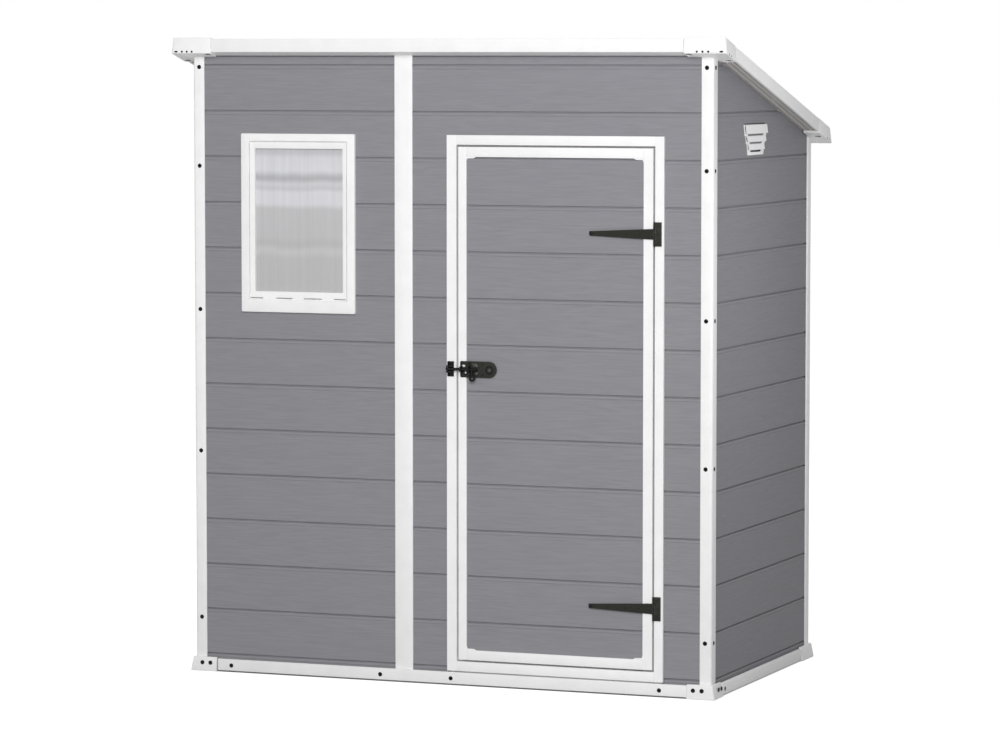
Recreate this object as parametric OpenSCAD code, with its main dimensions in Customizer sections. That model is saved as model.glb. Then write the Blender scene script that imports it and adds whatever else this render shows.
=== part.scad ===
// Pent-roofed plastic garden shed with one door and one window.
// Millimetres. +X to the right, +Y to the back, +Z up.
// The origin is on the ground, under the middle of the roof.

/* [Body] */
// Width over the corner posts
shed_w = 1725; // [1500:5:2400]
// Depth over the corner posts
shed_d = 992; // [800:4:1600]
// Height of the roof's underside at the front of the posts
front_h = 1950; // [1850:10:2300]
// Fall of the roof towards the back, in degrees
roof_pitch = 15; // [5:1:18]
// Thickness of a wall panel
wall_t = 18; // [12:1:22]

/* [Base] */
// Thickness of the floor panel
floor_t = 35; // [20:1:60]
// Height of a base rail's top over the ground
rail_top = 41; // [30:1:60]
// Height of a base rail's lower edge over the ground
rail_lift = 4.5; // [0:0.5:10]
// How far a base rail stands out from the posts
rail_out = 10; // [6:1:16]
// Height of a corner foot
foot_h = 45; // [35:1:70]
// How far a corner foot stands out from the posts
foot_out = 14; // [10:1:24]
// Length of a foot's short legs, measured from the post corner
foot_leg = 76; // [50:1:120]
// Length of a rear foot's leg along the side wall
foot_leg_rear = 112; // [50:1:140]

/* [Posts] */
// Width of a corner post on the front and back
post_w = 38; // [36:1:60]
// Width of a corner post on the sides
post_d = 40; // [36:1:60]
// How far posts stand out from the wall panels
post_proud = 5; // [2:0.5:6]
// Thickness of a corner post's web behind the panels' ends
post_web = 5; // [3:0.5:7]
// Radius of a corner post's outer edge
post_r = 8; // [2:1:12]
// Width of a middle post
mid_w = 59; // [40:1:90]
// Distance from the left end of the front to a middle post's centre
mid_x = 716.5; // [640:0.5:740]
// Width of a middle post's web between two panels
mid_web = 19; // [10:1:30]

/* [Window] */
// Distance from the left end of the front to the window frame
window_x = 166.5; // [80:0.5:240]
// Height of the window frame's lower edge
window_z = 1145; // [900:5:1200]
// Width of the window frame
window_w = 387; // [300:1:440]
// Height of the window frame
window_h = 559; // [400:1:620]
// Width of the frame's left member
window_left = 45; // [30:1:70]
// Width of the frame's right member
window_right = 42.5; // [30:0.5:70]
// Width of the frame's top member
window_top = 47; // [30:1:70]
// Width of the frame's bottom member
window_bottom = 65; // [30:1:90]
// How far the window frame stands out from the wall
window_proud = 10; // [4:1:16]
// Thickness of the pane
pane_t = 4; // [2:0.5:8]

/* [Door] */
// Distance from the left end of the front to the door frame
door_x = 863; // [800:1:900]
// Width of the door frame
frame_w = 708; // [640:1:740]
// Height of the door frame's top
frame_top = 1704; // [1500:5:1760]
// Height of the door frame's lower edge
frame_bottom = 45; // [42:1:60]
// Width of the frame's face at the head and the sill
frame_face = 30; // [24:1:45]
// Width of the face of the jamb on the bolt's side
latch_face = 32.5; // [24:0.5:45]
// Width of the face of the jamb on the hinges' side
hinge_face = 28.5; // [24:0.5:45]
// How far the door frame and leaf stand out from the wall
frame_proud = 12; // [8:1:20]
// How far the frame's face laps over the wall
frame_lap = 8; // [4:1:14]
// Gap all round between frame and leaf, and behind the leaf
door_gap = 6; // [6:0.5:8]
// Thickness of the stops behind the leaf
stop_t = 8; // [4:1:12]
// Width of the stops
stop_w = 10; // [8:1:16]
// Width of the white edging of the leaf
edge_w = 31; // [24:1:45]
// Width of that edging on the bolt's side
latch_edge_w = 27; // [24:1:45]
// How far the leaf's board panel lies back from its edging
leaf_recess = 4; // [2:0.5:8]

/* [Hinges] */
// Height of the upper hinge's centre
hinge_top_z = 1409; // [1200:1:1500]
// Height of the lower hinge's centre
hinge_low_z = 270; // [200:1:400]
// Length of a strap, from the hinge axis to its tip
strap_l = 209; // [120:1:260]
// Height of a strap at its root
strap_root = 33; // [24:1:45]
// Height of a strap at its tip
strap_tip = 13; // [8:1:20]
// Thickness of straps and plates
iron_t = 3; // [2:0.5:5]
// Height of a hinge plate
plate_h = 73; // [60:1:100]
// Width of a hinge plate, beside its knuckles
plate_w = 18.5; // [14:0.5:26]
// Radius of a knuckle
knuckle_r = 3.75; // [3.5:0.25:6]
// Radius of a hinge pin
pin_r = 2; // [1.5:0.25:2.5]
// Clearance between a pin and its bore, and between two knuckles
pin_gap = 0.3; // [0.1:0.05:0.5]

/* [Pad bolt] */
// Height of the bolt's centre
bolt_z = 984; // [850:1:1100]
// Radius of the bolt
bolt_r = 5; // [3:0.25:6]
// Length of the bolt beyond its ring
bolt_tail = 16; // [6:1:20]
// Distance from the leaf's face to the bolt's centre
bolt_off = 11; // [9.5:0.25:14]
// Clearance around the bolt in its guides and keeper
bolt_gap = 0.8; // [0.3:0.1:1.5]
// Height of the keeper
keeper_h = 47; // [36:1:60]
// Width of the keeper
keeper_w = 20.5; // [12:0.5:22]
// Length of the bolt's plate
latch_l = 120; // [90:1:150]
// Height of the bolt's plate
latch_h = 50; // [36:1:60]
// Width of one guide
guide_w = 6; // [4:0.5:7]
// Distance from the left end of the bolt's plate to the guide nearest the leaf's edge
guide_near = 2; // [1:0.5:6]
// Distance from the left end of the bolt's plate to the guide beside the ring
guide_far = 28.5; // [20:0.5:31]

/* [Vents] */
// Width of a vent's upper tier
vent_w = 222; // [160:1:260]
// Height of a vent
vent_h = 94; // [70:1:120]
// Distance from the front of the side wall to a vent's centre
vent_y = 415; // [300:1:560]
// Height of a vent's lower edge
vent_z = 1641; // [1500:1:1660]
// How far a vent stands out from the wall
vent_out = 12.5; // [8:0.5:20]

/* [Roof] */
// Overhang of the roof past the posts on each side
eave_side = 55; // [30:1:120]
// Overhang of the roof past the posts at the front and at the back
eave_end = 44; // [30:1:120]
// Thickness of the roof panels, measured straight up
roof_t = 30; // [20:1:45]
// Height of the roof trims over the roof's underside
trim_rise = 38; // [34:1:60]
// Height that the trims reach below the roof's underside
trim_drop = 3.5; // [1:0.5:8]
// Thickness of a trim's fascia
trim_t = 10; // [6:1:16]
// Width of the trims' top
rim_w = 45; // [30:1:80]
// How far the corner caps stand out from the trims
cap_proud = 2; // [1:0.5:4]
// Height of the corner caps over the roof's underside
cap_rise = 41.5; // [38:0.5:64]
// Thickness of a corner cap's plate under the roof
cap_drop = 8; // [4:1:12]
// Length of a cap's long leg
cap_long = 136; // [110:1:200]
// Length of a cap's short leg
cap_short = 100; // [100:1:160]

/* [Hidden] */
$fn = 48;

far = 10000;                             // longer than anything in the model
left = -shed_w / 2;                      // outer faces of the posts
front = -shed_d / 2;
wall_y = front + post_proud;             // outer face of the front wall
wall_back_y = wall_y + wall_t;           // inner face of the front wall
post_core = post_proud + wall_t + post_web; // from a post's corner to the panels' ends
mid_left = left + mid_x - mid_web / 2;   // where the left panels end
mid_right = left + mid_x + mid_web / 2;  // where the right panels start

window_hole_inset = 15;                  // how much the frame's face laps over the wall
pane_lap = 6;                            // depth of the pane in its groove
pane_back = 3;                           // distance from the wall's face back to the pane

frame_left = left + door_x;
frame_right = frame_left + frame_w;
leaf_face = wall_y - frame_proud;        // front of the door frame and the leaf
leaf_back = wall_back_y - door_gap;
leaf_left = frame_left + latch_face + door_gap;
leaf_right = frame_right - hinge_face - door_gap;
leaf_bottom = frame_bottom + frame_face + door_gap;
leaf_top = frame_top - frame_face - door_gap;

axis_x = leaf_right + 0.75 * door_gap;   // hinge axis, before the gap and nearer the jamb
axis_y = leaf_face - knuckle_r - 1.5;
knuckle_h = strap_root;                  // height of the turning knuckle

bolt_y = leaf_face - bolt_off;
bolt_tip = frame_left - 1;               // left end of the thrown bolt
latch_left = leaf_left + 7.5;            // left end of the bolt's plate
ring_x = latch_left + 42;                // centre of the bolt's ring
keeper_x = frame_left + 4;

seam_x = left + mid_x;                   // middle posts, and the seam of the roof panels
roof_w = shed_w + 2 * eave_side;
roof_d = shed_d + 2 * eave_end;
roof_x = roof_w / 2;
roof_y = roof_d / 2;
panel_in = cap_proud + trim_t;           // from the caps' outer face in to the panels
seat = 0.02;                             // hair of clearance where sloping faces rest

// Height of the roof's underside at a distance y from the middle
function under_z(y) = front_h - tan(roof_pitch) * (y - front);

// Upright block from one corner to the other
module block(a, b) {
    translate(a) cube(b - a);
}

// Upright slab with its top cut to the roof's underside
module to_roof(x0, x1, y0, y1, z0) {
    translate([x0, 0, 0]) rotate([90, 0, 90]) linear_extrude(x1 - x0)
        polygon([[y0, z0], [y1, z0], [y1, under_z(y1) - seat], [y0, under_z(y0) - seat]]);
}

// Slab that follows the roof, from height w0 to height w1 over its underside
module along_roof(x0, x1, y0, y1, w0, w1) {
    translate([x0, 0, 0]) rotate([90, 0, 90]) linear_extrude(x1 - x0)
        polygon([
            [y0, under_z(y0) + w0], [y1, under_z(y1) + w0],
            [y1, under_z(y1) + w1], [y0, under_z(y0) + w1]
        ]);
}

// Children, mirrored to the right and the back as asked
module at_corner(right, back) {
    mirror([right ? 1 : 0, 0, 0]) mirror([0, back ? 1 : 0, 0]) children();
}

// ---- Base ----

module floor_panel() {
    color("#8f8f92") block([left, front, 0], [-left, -front, floor_t]);
}

// Rail along the front, from foot to foot
module rail_across() {
    color("#e2e2e2")
        block([left + foot_leg, front - rail_out, rail_lift], [-left - foot_leg, front, rail_top]);
}

// Rail along the left side, from foot to foot
module rail_along() {
    color("#e2e2e2")
        block([left - rail_out, front + foot_leg, rail_lift],
              [left, -front - foot_leg_rear, rail_top]);
}

module base_rail_front() { rail_across(); }
module base_rail_back() { mirror([0, 1, 0]) rail_across(); }
module base_rail_left() { rail_along(); }
module base_rail_right() { mirror([1, 0, 0]) rail_along(); }

// L-shaped foot around one corner of the floor
module corner_foot(side_leg) {
    foot_r = 6;
    difference() {
        union() {
            translate([left - foot_out + foot_r, front - foot_out + foot_r, 0])
                cylinder(r = foot_r, h = foot_h);
            block([left - foot_out + foot_r, front - foot_out, 0],
                  [left + foot_leg, front + side_leg, foot_h]);
            block([left - foot_out, front - foot_out + foot_r, 0],
                  [left + foot_leg, front + side_leg, foot_h]);
        }
        block([left, front, -1], [left + far, front + far, foot_h + 1]);
    }
}

module corner_feet() {
    color("#e2e2e2") for (right = [false, true]) {
        at_corner(right, false) corner_foot(foot_leg);
        at_corner(right, true) corner_foot(foot_leg_rear);
    }
}

// ---- Posts ----

// Plan of the front left corner post, with a slot for each wall panel
module post_plan() {
    translate([left, front]) difference() {
        union() {
            translate([post_r, post_r]) circle(r = post_r);
            translate([post_r, 0]) square([post_w - post_r, post_d]);
            translate([0, post_r]) square([post_w, post_d - post_r]);
        }
        translate([post_core, post_proud]) square([post_w, wall_t]);
        translate([post_proud, post_core]) square([wall_t, post_d]);
    }
}

// Left corner post, at the front or at the back, where the roof is lower
module corner_post(back) {
    y = back ? -front - post_d : front;
    intersection() {
        to_roof(left, left + post_w, y, y + post_d, floor_t);
        mirror([0, back ? 1 : 0, 0]) linear_extrude(far) post_plan();
    }
}

module corner_post_front_left() { color("#f2f2f2") corner_post(false); }
module corner_post_front_right() { color("#f2f2f2") mirror([1, 0, 0]) corner_post(false); }
module corner_post_back_left() { color("#f2f2f2") corner_post(true); }
module corner_post_back_right() { color("#f2f2f2") mirror([1, 0, 0]) corner_post(true); }

// H-section between two panels; outer is the y of its outer face, into points inwards
module mid_post(outer, into) {
    x0 = seam_x - mid_w / 2;
    x1 = seam_x + mid_w / 2;
    depths = [0, post_proud, post_proud + wall_t, 2 * post_proud + wall_t];
    ys = [for (d = depths) outer + into * d];
    color("#f2f2f2") union() {
        to_roof(x0, x1, min(ys[0], ys[1]), max(ys[0], ys[1]), floor_t);
        to_roof(mid_left, mid_right, min(ys[0], ys[3]), max(ys[0], ys[3]), floor_t);
        to_roof(x0, x1, min(ys[2], ys[3]), max(ys[2], ys[3]), floor_t);
    }
}

module mid_post_front() { mid_post(front, 1); }
module mid_post_back() { mid_post(-front, -1); }

// ---- Walls ----

// Part of the front wall between two x, from z up to the roof
module front_panel(x0, x1, z0) {
    color("#8f8e93") to_roof(x0, x1, wall_y, wall_back_y, z0);
}

module front_wall_window() {
    difference() {
        front_panel(left + post_core, mid_left, floor_t);
        window_hole(wall_y - 1, wall_back_y + 1);
    }
}

module front_wall_left_of_door() {
    front_panel(mid_right, frame_left + frame_lap, floor_t);
}

module front_wall_right_of_door() {
    front_panel(frame_right - frame_lap, -left - post_core, floor_t);
}

module front_wall_over_door() {
    front_panel(frame_left + frame_lap, frame_right - frame_lap, frame_top - frame_lap);
}

module back_panel(x0, x1) {
    color("#8f8e93") to_roof(x0, x1, -wall_back_y, -wall_y, floor_t);
}

module back_wall_left() { back_panel(left + post_core, mid_left); }
module back_wall_right() { back_panel(mid_right, -left - post_core); }

module side_wall() {
    x0 = left + post_proud;
    color("#8f8e93")
        to_roof(x0, x0 + wall_t, front + post_core, -front - post_core, floor_t);
}

module side_wall_left() { side_wall(); }
module side_wall_right() { mirror([1, 0, 0]) side_wall(); }

// ---- Window ----

// The hole that the frame fills, between two y
module window_hole(y0, y1) {
    inset = window_hole_inset;
    block([left + window_x + inset, y0, window_z + inset],
          [left + window_x + window_w - inset, y1, window_z + window_h - inset]);
}

// The clear opening of the frame, grown by lap on every side
module window_light(y0, y1, lap) {
    block([left + window_x + window_left - lap, y0, window_z + window_bottom - lap],
          [left + window_x + window_w - window_right + lap, y1,
           window_z + window_h - window_top + lap]);
}

module window_frame() {
    color("#f5f5f5") difference() {
        union() {
            block([left + window_x, wall_y - window_proud, window_z],
                  [left + window_x + window_w, wall_y, window_z + window_h]);
            window_hole(wall_y - 1, wall_back_y);
        }
        window_light(wall_y - far, wall_y + far, 0);
        window_pane();
    }
}

module window_pane() {
    color("#c8c8c8", 0.6) window_light(wall_y + pane_back, wall_y + pane_back + pane_t, pane_lap);
}

// ---- Vents ----

// Three tiers of louvres, each narrower than the one above
module vent() {
    x0 = left + post_proud;
    y0 = front + vent_y;
    tiers = 3;
    tier_h = vent_h / tiers;
    inset = 14;
    lap = 1;
    color("#f5f5f5") union() for (i = [0:tiers - 1])
        block([x0 - vent_out + 2 * i, y0 - vent_w / 2 + inset * i, vent_z + tier_h * (tiers - 1 - i)],
              [x0, y0 + vent_w / 2 - inset * i, vent_z + tier_h * (tiers - i) + (i > 0 ? lap : 0)]);
}

module vent_left() { vent(); }
module vent_right() { mirror([1, 0, 0]) vent(); }

// ---- Door frame ----

// Left jamb with a face of the width given, a core in the wall and a stop behind the leaf
module jamb(face) {
    color("#f5f5f5") union() {
        block([frame_left, leaf_face, frame_bottom], [frame_left + face, wall_y, frame_top]);
        block([frame_left + frame_lap, leaf_face, frame_bottom],
              [frame_left + face, wall_back_y, frame_top - frame_lap]);
        block([frame_left + frame_lap, wall_y, floor_t],
              [frame_left + face, wall_back_y + stop_t, frame_top - frame_lap]);
        block([frame_left + frame_lap, wall_back_y, floor_t],
              [frame_left + face + stop_w, wall_back_y + stop_t, frame_top - frame_lap]);
    }
}

module door_jamb_latch() { jamb(latch_face); }

module door_jamb_hinge() {
    translate([frame_left + frame_right, 0, 0]) mirror([1, 0, 0]) jamb(hinge_face);
}

module door_head() {
    color("#f5f5f5") union() {
        block([frame_left + latch_face, leaf_face, frame_top - frame_face],
              [frame_right - hinge_face, wall_y, frame_top]);
        block([frame_left + latch_face, leaf_face, frame_top - frame_face],
              [frame_right - hinge_face, wall_back_y, frame_top - frame_lap]);
        block([frame_left + latch_face + stop_w, wall_back_y, frame_top - frame_face - stop_w],
              [frame_right - hinge_face - stop_w, wall_back_y + stop_t, frame_top - frame_lap]);
    }
}

module door_sill() {
    color("#f5f5f5") union() {
        block([frame_left + latch_face, leaf_face, frame_bottom],
              [frame_right - hinge_face, wall_y, frame_bottom + frame_face]);
        block([frame_left + latch_face, wall_y, floor_t],
              [frame_right - hinge_face, wall_back_y, frame_bottom + frame_face]);
        block([frame_left + latch_face + stop_w, wall_back_y, floor_t],
              [frame_right - hinge_face - stop_w, wall_back_y + stop_t,
               frame_bottom + frame_face + stop_w]);
    }
}

// ---- Door leaf ----

module door_panel() {
    color("#8f8e93")
        block([leaf_left + latch_edge_w, leaf_face + leaf_recess, leaf_bottom + edge_w],
              [leaf_right - edge_w, leaf_back, leaf_top - edge_w]);
}

module stile(x0, x1) {
    color("#f5f5f5") block([x0, leaf_face, leaf_bottom], [x1, leaf_back, leaf_top]);
}

module leaf_rail(z0) {
    color("#f5f5f5")
        block([leaf_left + latch_edge_w, leaf_face, z0], [leaf_right - edge_w, leaf_back, z0 + edge_w]);
}

module door_stile_latch() { stile(leaf_left, leaf_left + latch_edge_w); }
module door_stile_hinge() { stile(leaf_right - edge_w, leaf_right); }
module door_rail_top() { leaf_rail(leaf_top - edge_w); }
module door_rail_bottom() { leaf_rail(leaf_bottom); }

// ---- Hinges ----

// Plate on the jamb with its two fixed knuckles and the pin, centred at height z
module hinge_plate(z) {
    gap = knuckle_h / 2 + pin_gap;
    x0 = axis_x + knuckle_r + 1;
    translate([0, 0, z]) union() {
        block([x0, leaf_face - iron_t, -plate_h / 2], [x0 + plate_w, leaf_face, plate_h / 2]);
        for (side = [0, 1]) mirror([0, 0, side]) {
            translate([axis_x, axis_y, gap]) cylinder(r = knuckle_r, h = plate_h / 2 - gap);
            block([axis_x, leaf_face - iron_t - 1, gap], [x0 + 1, leaf_face - 1, plate_h / 2]);
        }
        translate([axis_x, axis_y, -gap - 1]) cylinder(r = pin_r, h = 2 * gap + 2);
    }
}

module hinge_plates() {
    color("#3d3d3b") for (z = [hinge_low_z, hinge_top_z]) hinge_plate(z);
}

// Tapered strap on the leaf with the turning knuckle, centred at height z
module hinge_strap(z) {
    translate([0, 0, z]) difference() {
        union() {
            translate([0, leaf_face, 0]) rotate([90, 0, 0]) linear_extrude(iron_t)
                polygon([
                    [axis_x, -strap_root / 2], [axis_x, strap_root / 2],
                    [axis_x - strap_l, strap_tip / 2], [axis_x - strap_l, -strap_tip / 2]
                ]);
            translate([axis_x, axis_y, -knuckle_h / 2]) cylinder(r = knuckle_r, h = knuckle_h);
        }
        translate([axis_x, axis_y, -knuckle_h]) cylinder(r = pin_r + pin_gap, h = 2 * knuckle_h);
    }
}

module hinge_straps() {
    color("#3d3d3b") for (z = [hinge_low_z, hinge_top_z]) hinge_strap(z);
}

// ---- Pad bolt ----

// Two cheeks above and below the thrown bolt, open to the front
module latch_keeper() {
    slot = bolt_r + bolt_gap;
    cheek = 5;
    color("#3d3d3b") translate([keeper_x, 0, bolt_z]) union() {
        block([0, leaf_face - iron_t, -keeper_h / 2], [keeper_w, leaf_face, keeper_h / 2]);
        for (side = [0, 1]) mirror([0, 0, side])
            block([0, bolt_y - bolt_r, slot], [keeper_w, leaf_face - 1, slot + cheek]);
    }
}

// Plate with a round end and two guides around the bolt
module latch_plate() {
    r = latch_h / 2;
    guide = bolt_r + 4;
    color("#3d3d3b") translate([latch_left, 0, bolt_z]) difference() {
        union() {
            translate([0, leaf_face, 0]) rotate([90, 0, 0]) linear_extrude(iron_t) union() {
                translate([0, -r]) square([latch_l - r, latch_h]);
                translate([latch_l - r, 0]) circle(r = r);
            }
            for (x = [guide_near, guide_far])
                block([x, bolt_y - guide, -guide], [x + guide_w, leaf_face - 1, guide]);
        }
        translate([-1, bolt_y, 0]) rotate([0, 90, 0])
            cylinder(r = bolt_r + bolt_gap, h = latch_l / 2);
    }
}

// Round bolt with a ring that hangs from its right end
module latch_bolt() {
    ring_r = 9;
    wire_r = 2.5;
    ring_z = bolt_z - 30;
    color("#3d3d3b") union() {
        translate([bolt_tip, bolt_y, bolt_z]) rotate([0, 90, 0])
            cylinder(r = bolt_r, h = ring_x + bolt_tail - bolt_tip);
        translate([ring_x, bolt_y, ring_z + ring_r])
            cylinder(r = wire_r, h = bolt_z - ring_z - ring_r);
        translate([ring_x, bolt_y, ring_z]) rotate([90, 0, 0])
            rotate_extrude() translate([ring_r, 0]) circle(r = wire_r);
    }
}

// ---- Roof ----

module roof_panel_left() {
    color("#8b8a8c")
        along_roof(-roof_x + panel_in, seam_x, -roof_y + panel_in, roof_y - panel_in, 0, roof_t);
}

module roof_panel_right() {
    color("#8b8a8c")
        along_roof(seam_x, roof_x - panel_in, -roof_y + panel_in, roof_y - panel_in, 0, roof_t);
}

module roof_trim_front() {
    x = roof_x - cap_long;
    y = -roof_y + cap_proud;
    color("#f0f0f0") union() {
        along_roof(-x, x, y, y + trim_t, -trim_drop, trim_rise);
        along_roof(-x, x, y, -roof_y + rim_w, roof_t + seat, trim_rise);
    }
}

module roof_trim_back() {
    x = roof_x - cap_short;
    y = roof_y - cap_proud;
    color("#f0f0f0") union() {
        along_roof(-x, x, y - trim_t, y, -trim_drop, trim_rise);
        along_roof(-x, x, roof_y - rim_w, y, roof_t + seat, trim_rise);
    }
}

// Trim along the left rake, between the caps
module rake_trim() {
    x = -roof_x + cap_proud;
    y0 = -roof_y + cap_short;
    y1 = roof_y - cap_long;
    color("#f0f0f0") union() {
        along_roof(x, x + trim_t, y0, y1, -trim_drop, trim_rise);
        along_roof(x, -roof_x + rim_w, y0, y1, roof_t + seat, trim_rise);
    }
}

module roof_trim_left() { rake_trim(); }
module roof_trim_right() { mirror([1, 0, 0]) rake_trim(); }

// Cap around a left corner of the roof, between y0 and y1 and leg wide
module corner_cap(leg, y0, y1) {
    mid = roof_t / 2;
    difference() {
        along_roof(-roof_x, -roof_x + leg, y0, y1, -cap_drop, cap_rise);
        along_roof(-roof_x + panel_in, roof_x, -roof_y + panel_in, roof_y - panel_in,
                   -seat, roof_t + seat);
        along_roof(-roof_x + rim_w, roof_x, -roof_y + rim_w, roof_y - rim_w, mid, far);
        along_roof(left, roof_x, front, -front, -far, mid);
    }
}

module roof_corner_caps() {
    color("#f5f5f5") for (right = [0, 1]) mirror([right, 0, 0]) {
        corner_cap(cap_long, -roof_y, -roof_y + cap_short);
        corner_cap(cap_short, roof_y - cap_long, roof_y);
    }
}

floor_panel();
base_rail_front();
base_rail_back();
base_rail_left();
base_rail_right();
corner_feet();
corner_post_front_left();
corner_post_front_right();
corner_post_back_left();
corner_post_back_right();
mid_post_front();
mid_post_back();
front_wall_window();
front_wall_left_of_door();
front_wall_right_of_door();
front_wall_over_door();
back_wall_left();
back_wall_right();
side_wall_left();
side_wall_right();
window_frame();
window_pane();
vent_left();
vent_right();
door_jamb_latch();
door_jamb_hinge();
door_head();
door_sill();
hinge_plates();
latch_keeper();
door_panel();
door_stile_latch();
door_stile_hinge();
door_rail_top();
door_rail_bottom();
hinge_straps();
latch_plate();
latch_bolt();
roof_panel_left();
roof_panel_right();
roof_trim_front();
roof_trim_back();
roof_trim_left();
roof_trim_right();
roof_corner_caps();
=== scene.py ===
"""Looks of a pent-roofed plastic garden shed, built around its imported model.

Lengths are in metres in the model's frame: X to the right, Y to the back and
Z up, from a point on the ground under the middle of the roof.
"""

import math

import bmesh
import bpy
from bpy.props import FloatProperty, FloatVectorProperty, IntProperty, PointerProperty
from mathutils import Matrix, Vector


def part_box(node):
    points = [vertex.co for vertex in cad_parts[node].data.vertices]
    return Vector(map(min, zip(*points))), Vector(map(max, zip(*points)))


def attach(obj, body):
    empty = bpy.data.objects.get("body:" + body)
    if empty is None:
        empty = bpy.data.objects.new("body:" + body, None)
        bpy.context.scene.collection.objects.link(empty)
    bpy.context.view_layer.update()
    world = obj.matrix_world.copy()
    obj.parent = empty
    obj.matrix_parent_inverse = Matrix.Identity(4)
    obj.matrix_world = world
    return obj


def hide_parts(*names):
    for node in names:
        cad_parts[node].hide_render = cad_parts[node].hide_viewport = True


bl_info = {
    "name": "Plastic Garden Shed",
    "version": (1, 0, 0),
    "blender": (4, 5, 0),
    "location": "3D View > Sidebar > Shed",
    "description": "Builds the board walls, trims, door, window and roof of a plastic shed",
    "category": "Object",
}

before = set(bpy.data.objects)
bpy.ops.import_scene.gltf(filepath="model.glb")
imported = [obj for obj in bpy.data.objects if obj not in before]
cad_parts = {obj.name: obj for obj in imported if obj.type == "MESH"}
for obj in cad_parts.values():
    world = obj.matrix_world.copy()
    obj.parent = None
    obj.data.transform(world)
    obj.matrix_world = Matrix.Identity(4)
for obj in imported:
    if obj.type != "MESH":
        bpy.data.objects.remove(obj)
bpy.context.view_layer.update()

WALL_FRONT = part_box("front_wall_over_door")
WALL_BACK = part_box("back_wall_left")
FALL = (WALL_FRONT[1].z - WALL_BACK[1].z) / (WALL_BACK[0].y - WALL_FRONT[0].y)
POST_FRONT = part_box("corner_post_front_right")
LEAF_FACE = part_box("door_stile_latch")[0].y
IRON_FACE = LEAF_FACE - 0.003  # front of the 3 mm ironwork on the leaf and the jambs
PAST = 0.01  # how far a cutting shape runs past the face that it cuts


def roof_z(y):
    """Height of the roof's underside at depth y."""
    return WALL_FRONT[1].z - FALL * (y - WALL_FRONT[0].y)


def hex_colour(text):
    """Linear RGBA of an sRGB hex colour."""
    channels = [int(text[i : i + 2], 16) / 255 for i in (1, 3, 5)]
    linear = [c / 12.92 if c <= 0.04045 else ((c + 0.055) / 1.055) ** 2.4 for c in channels]
    return (*linear, 1.0)


# ---- Sizes and colours ----


def length(name, description, default, low=0.0002, high=1.0):
    return FloatProperty(
        name=name, description=description, default=default, min=low, max=high,
        precision=4, subtype="DISTANCE", unit="LENGTH",
    )


def colour(name, description, default):
    return FloatVectorProperty(
        name=name, description=description, default=hex_colour(default), size=4,
        min=0, max=1, subtype="COLOR",
    )


class ShedBoardSizes(bpy.types.PropertyGroup):
    pitch: length("Board Pitch", "Height from one board groove to the next", 0.1432)
    first: length("First Groove", "Height of the lowest groove over the ground", 0.0558)
    groove_width: length("Groove Width", "Width of the groove between two boards", 0.0056)
    groove_depth: length("Groove Depth", "Depth of the groove between two boards", 0.0050)
    lip: length("Lip", "Height of the sloping lip under a groove", 0.0062)
    step: length("Step", "Depth of the fine step under the lip", 0.0011)


class ShedTrimSizes(bpy.types.PropertyGroup):
    edge: length("Trim Edge", "Rounding of the moulded trims' edges", 0.0012)
    iron_edge: length("Iron Edge", "Rounding of the pressed iron's edges", 0.0006)
    screw: length("Screw Head", "Diameter of a screw head on the trims", 0.0136)
    iron_screw: length("Iron Screw Head", "Diameter of a screw head on the ironwork", 0.0074)
    sash: length("Sash Step", "Depth of the step from the window's frame to its sash", 0.0038)
    flute: length("Pane Flute", "Width of one flute of the window pane", 0.0098)
    flute_depth: length("Flute Depth", "Depth of the pane's flutes", 0.0004)


class ShedRoofSizes(bpy.types.PropertyGroup):
    rib: length("Rib", "Width of a raised rib on the roof", 0.022)
    pocket: length("Pan", "Width of the pan between two ribs", 0.052)
    pan_depth: length("Pan Depth", "Depth of the pans under the ribs", 0.006)
    soffit_pitch: length("Soffit Flute", "Width of one flute under the roof", 0.0185)
    soffit_depth: length("Soffit Depth", "Depth of the flutes under the roof", 0.0016)


class ShedColours(bpy.types.PropertyGroup):
    boards: colour("Boards", "Grey of the wall and door boards", "#8f8e93")
    trims: colour("Trims", "White of the posts, frames and roof trims", "#f6f6f6")
    base: colour("Base", "White of the base rails and feet", "#f0f0f0")
    roof: colour("Roof", "Grey of the roof panels", "#c3c0bd")
    floor: colour("Floor", "Grey of the floor panel", "#7f7f82")
    pane: colour("Pane", "Tint of the window pane", "#dbdbdd")
    iron: colour("Iron", "Black of the hinges and the bolt", "#2f2f2b")
    screws: colour("Blacked Steel", "Black of the screws, the bolt and its keeper", "#202021")
    # Painted shade: the black of the discs that stand for the shade inside the corner caps' holes.
    painted_hole_shade: colour("Plugs", "Black of the plugs in the corner caps", "#141414")


class ShedStageSettings(bpy.types.PropertyGroup):
    lens: FloatProperty(
        name="Lens", description="Focal length of the camera in millimetres",
        default=152.1, min=20, max=400, unit="CAMERA",
    )
    azimuth: FloatProperty(
        name="Azimuth", description="Turn of the view to the right of the front",
        default=math.radians(21.46), subtype="ANGLE", unit="ROTATION",
    )
    pitch: FloatProperty(
        name="Pitch", description="Fall of the view under level",
        default=math.radians(4.367), subtype="ANGLE", unit="ROTATION",
    )
    soft_light: FloatProperty(
        name="Soft Light", description="Level of the even light from all round",
        default=0.345, min=0, max=2,
    )
    key_watts: IntProperty(
        name="Key Light", description="Power of the broad light before the front, in watts",
        default=157, min=0, max=5000,
    )


# ---- Meshes ----


def prism(bm, outline, axis, stations):
    """A solid that keeps one outline, in the other two axes, from station to station on axis."""
    turn = {
        "x": lambda p, q, at: (at, p, q),
        "y": lambda p, q, at: (p, at, q),
        "z": lambda p, q, at: (p, q, at),
    }[axis]
    rings = [[bm.verts.new(turn(p, q, at)) for p, q in outline] for at in stations]
    bm.faces.new(rings[0])
    bm.faces.new(rings[-1])
    for near, far in zip(rings, rings[1:]):
        for i in range(len(outline)):
            j = (i + 1) % len(outline)
            bm.faces.new((near[j], near[i], far[i], far[j]))


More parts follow.
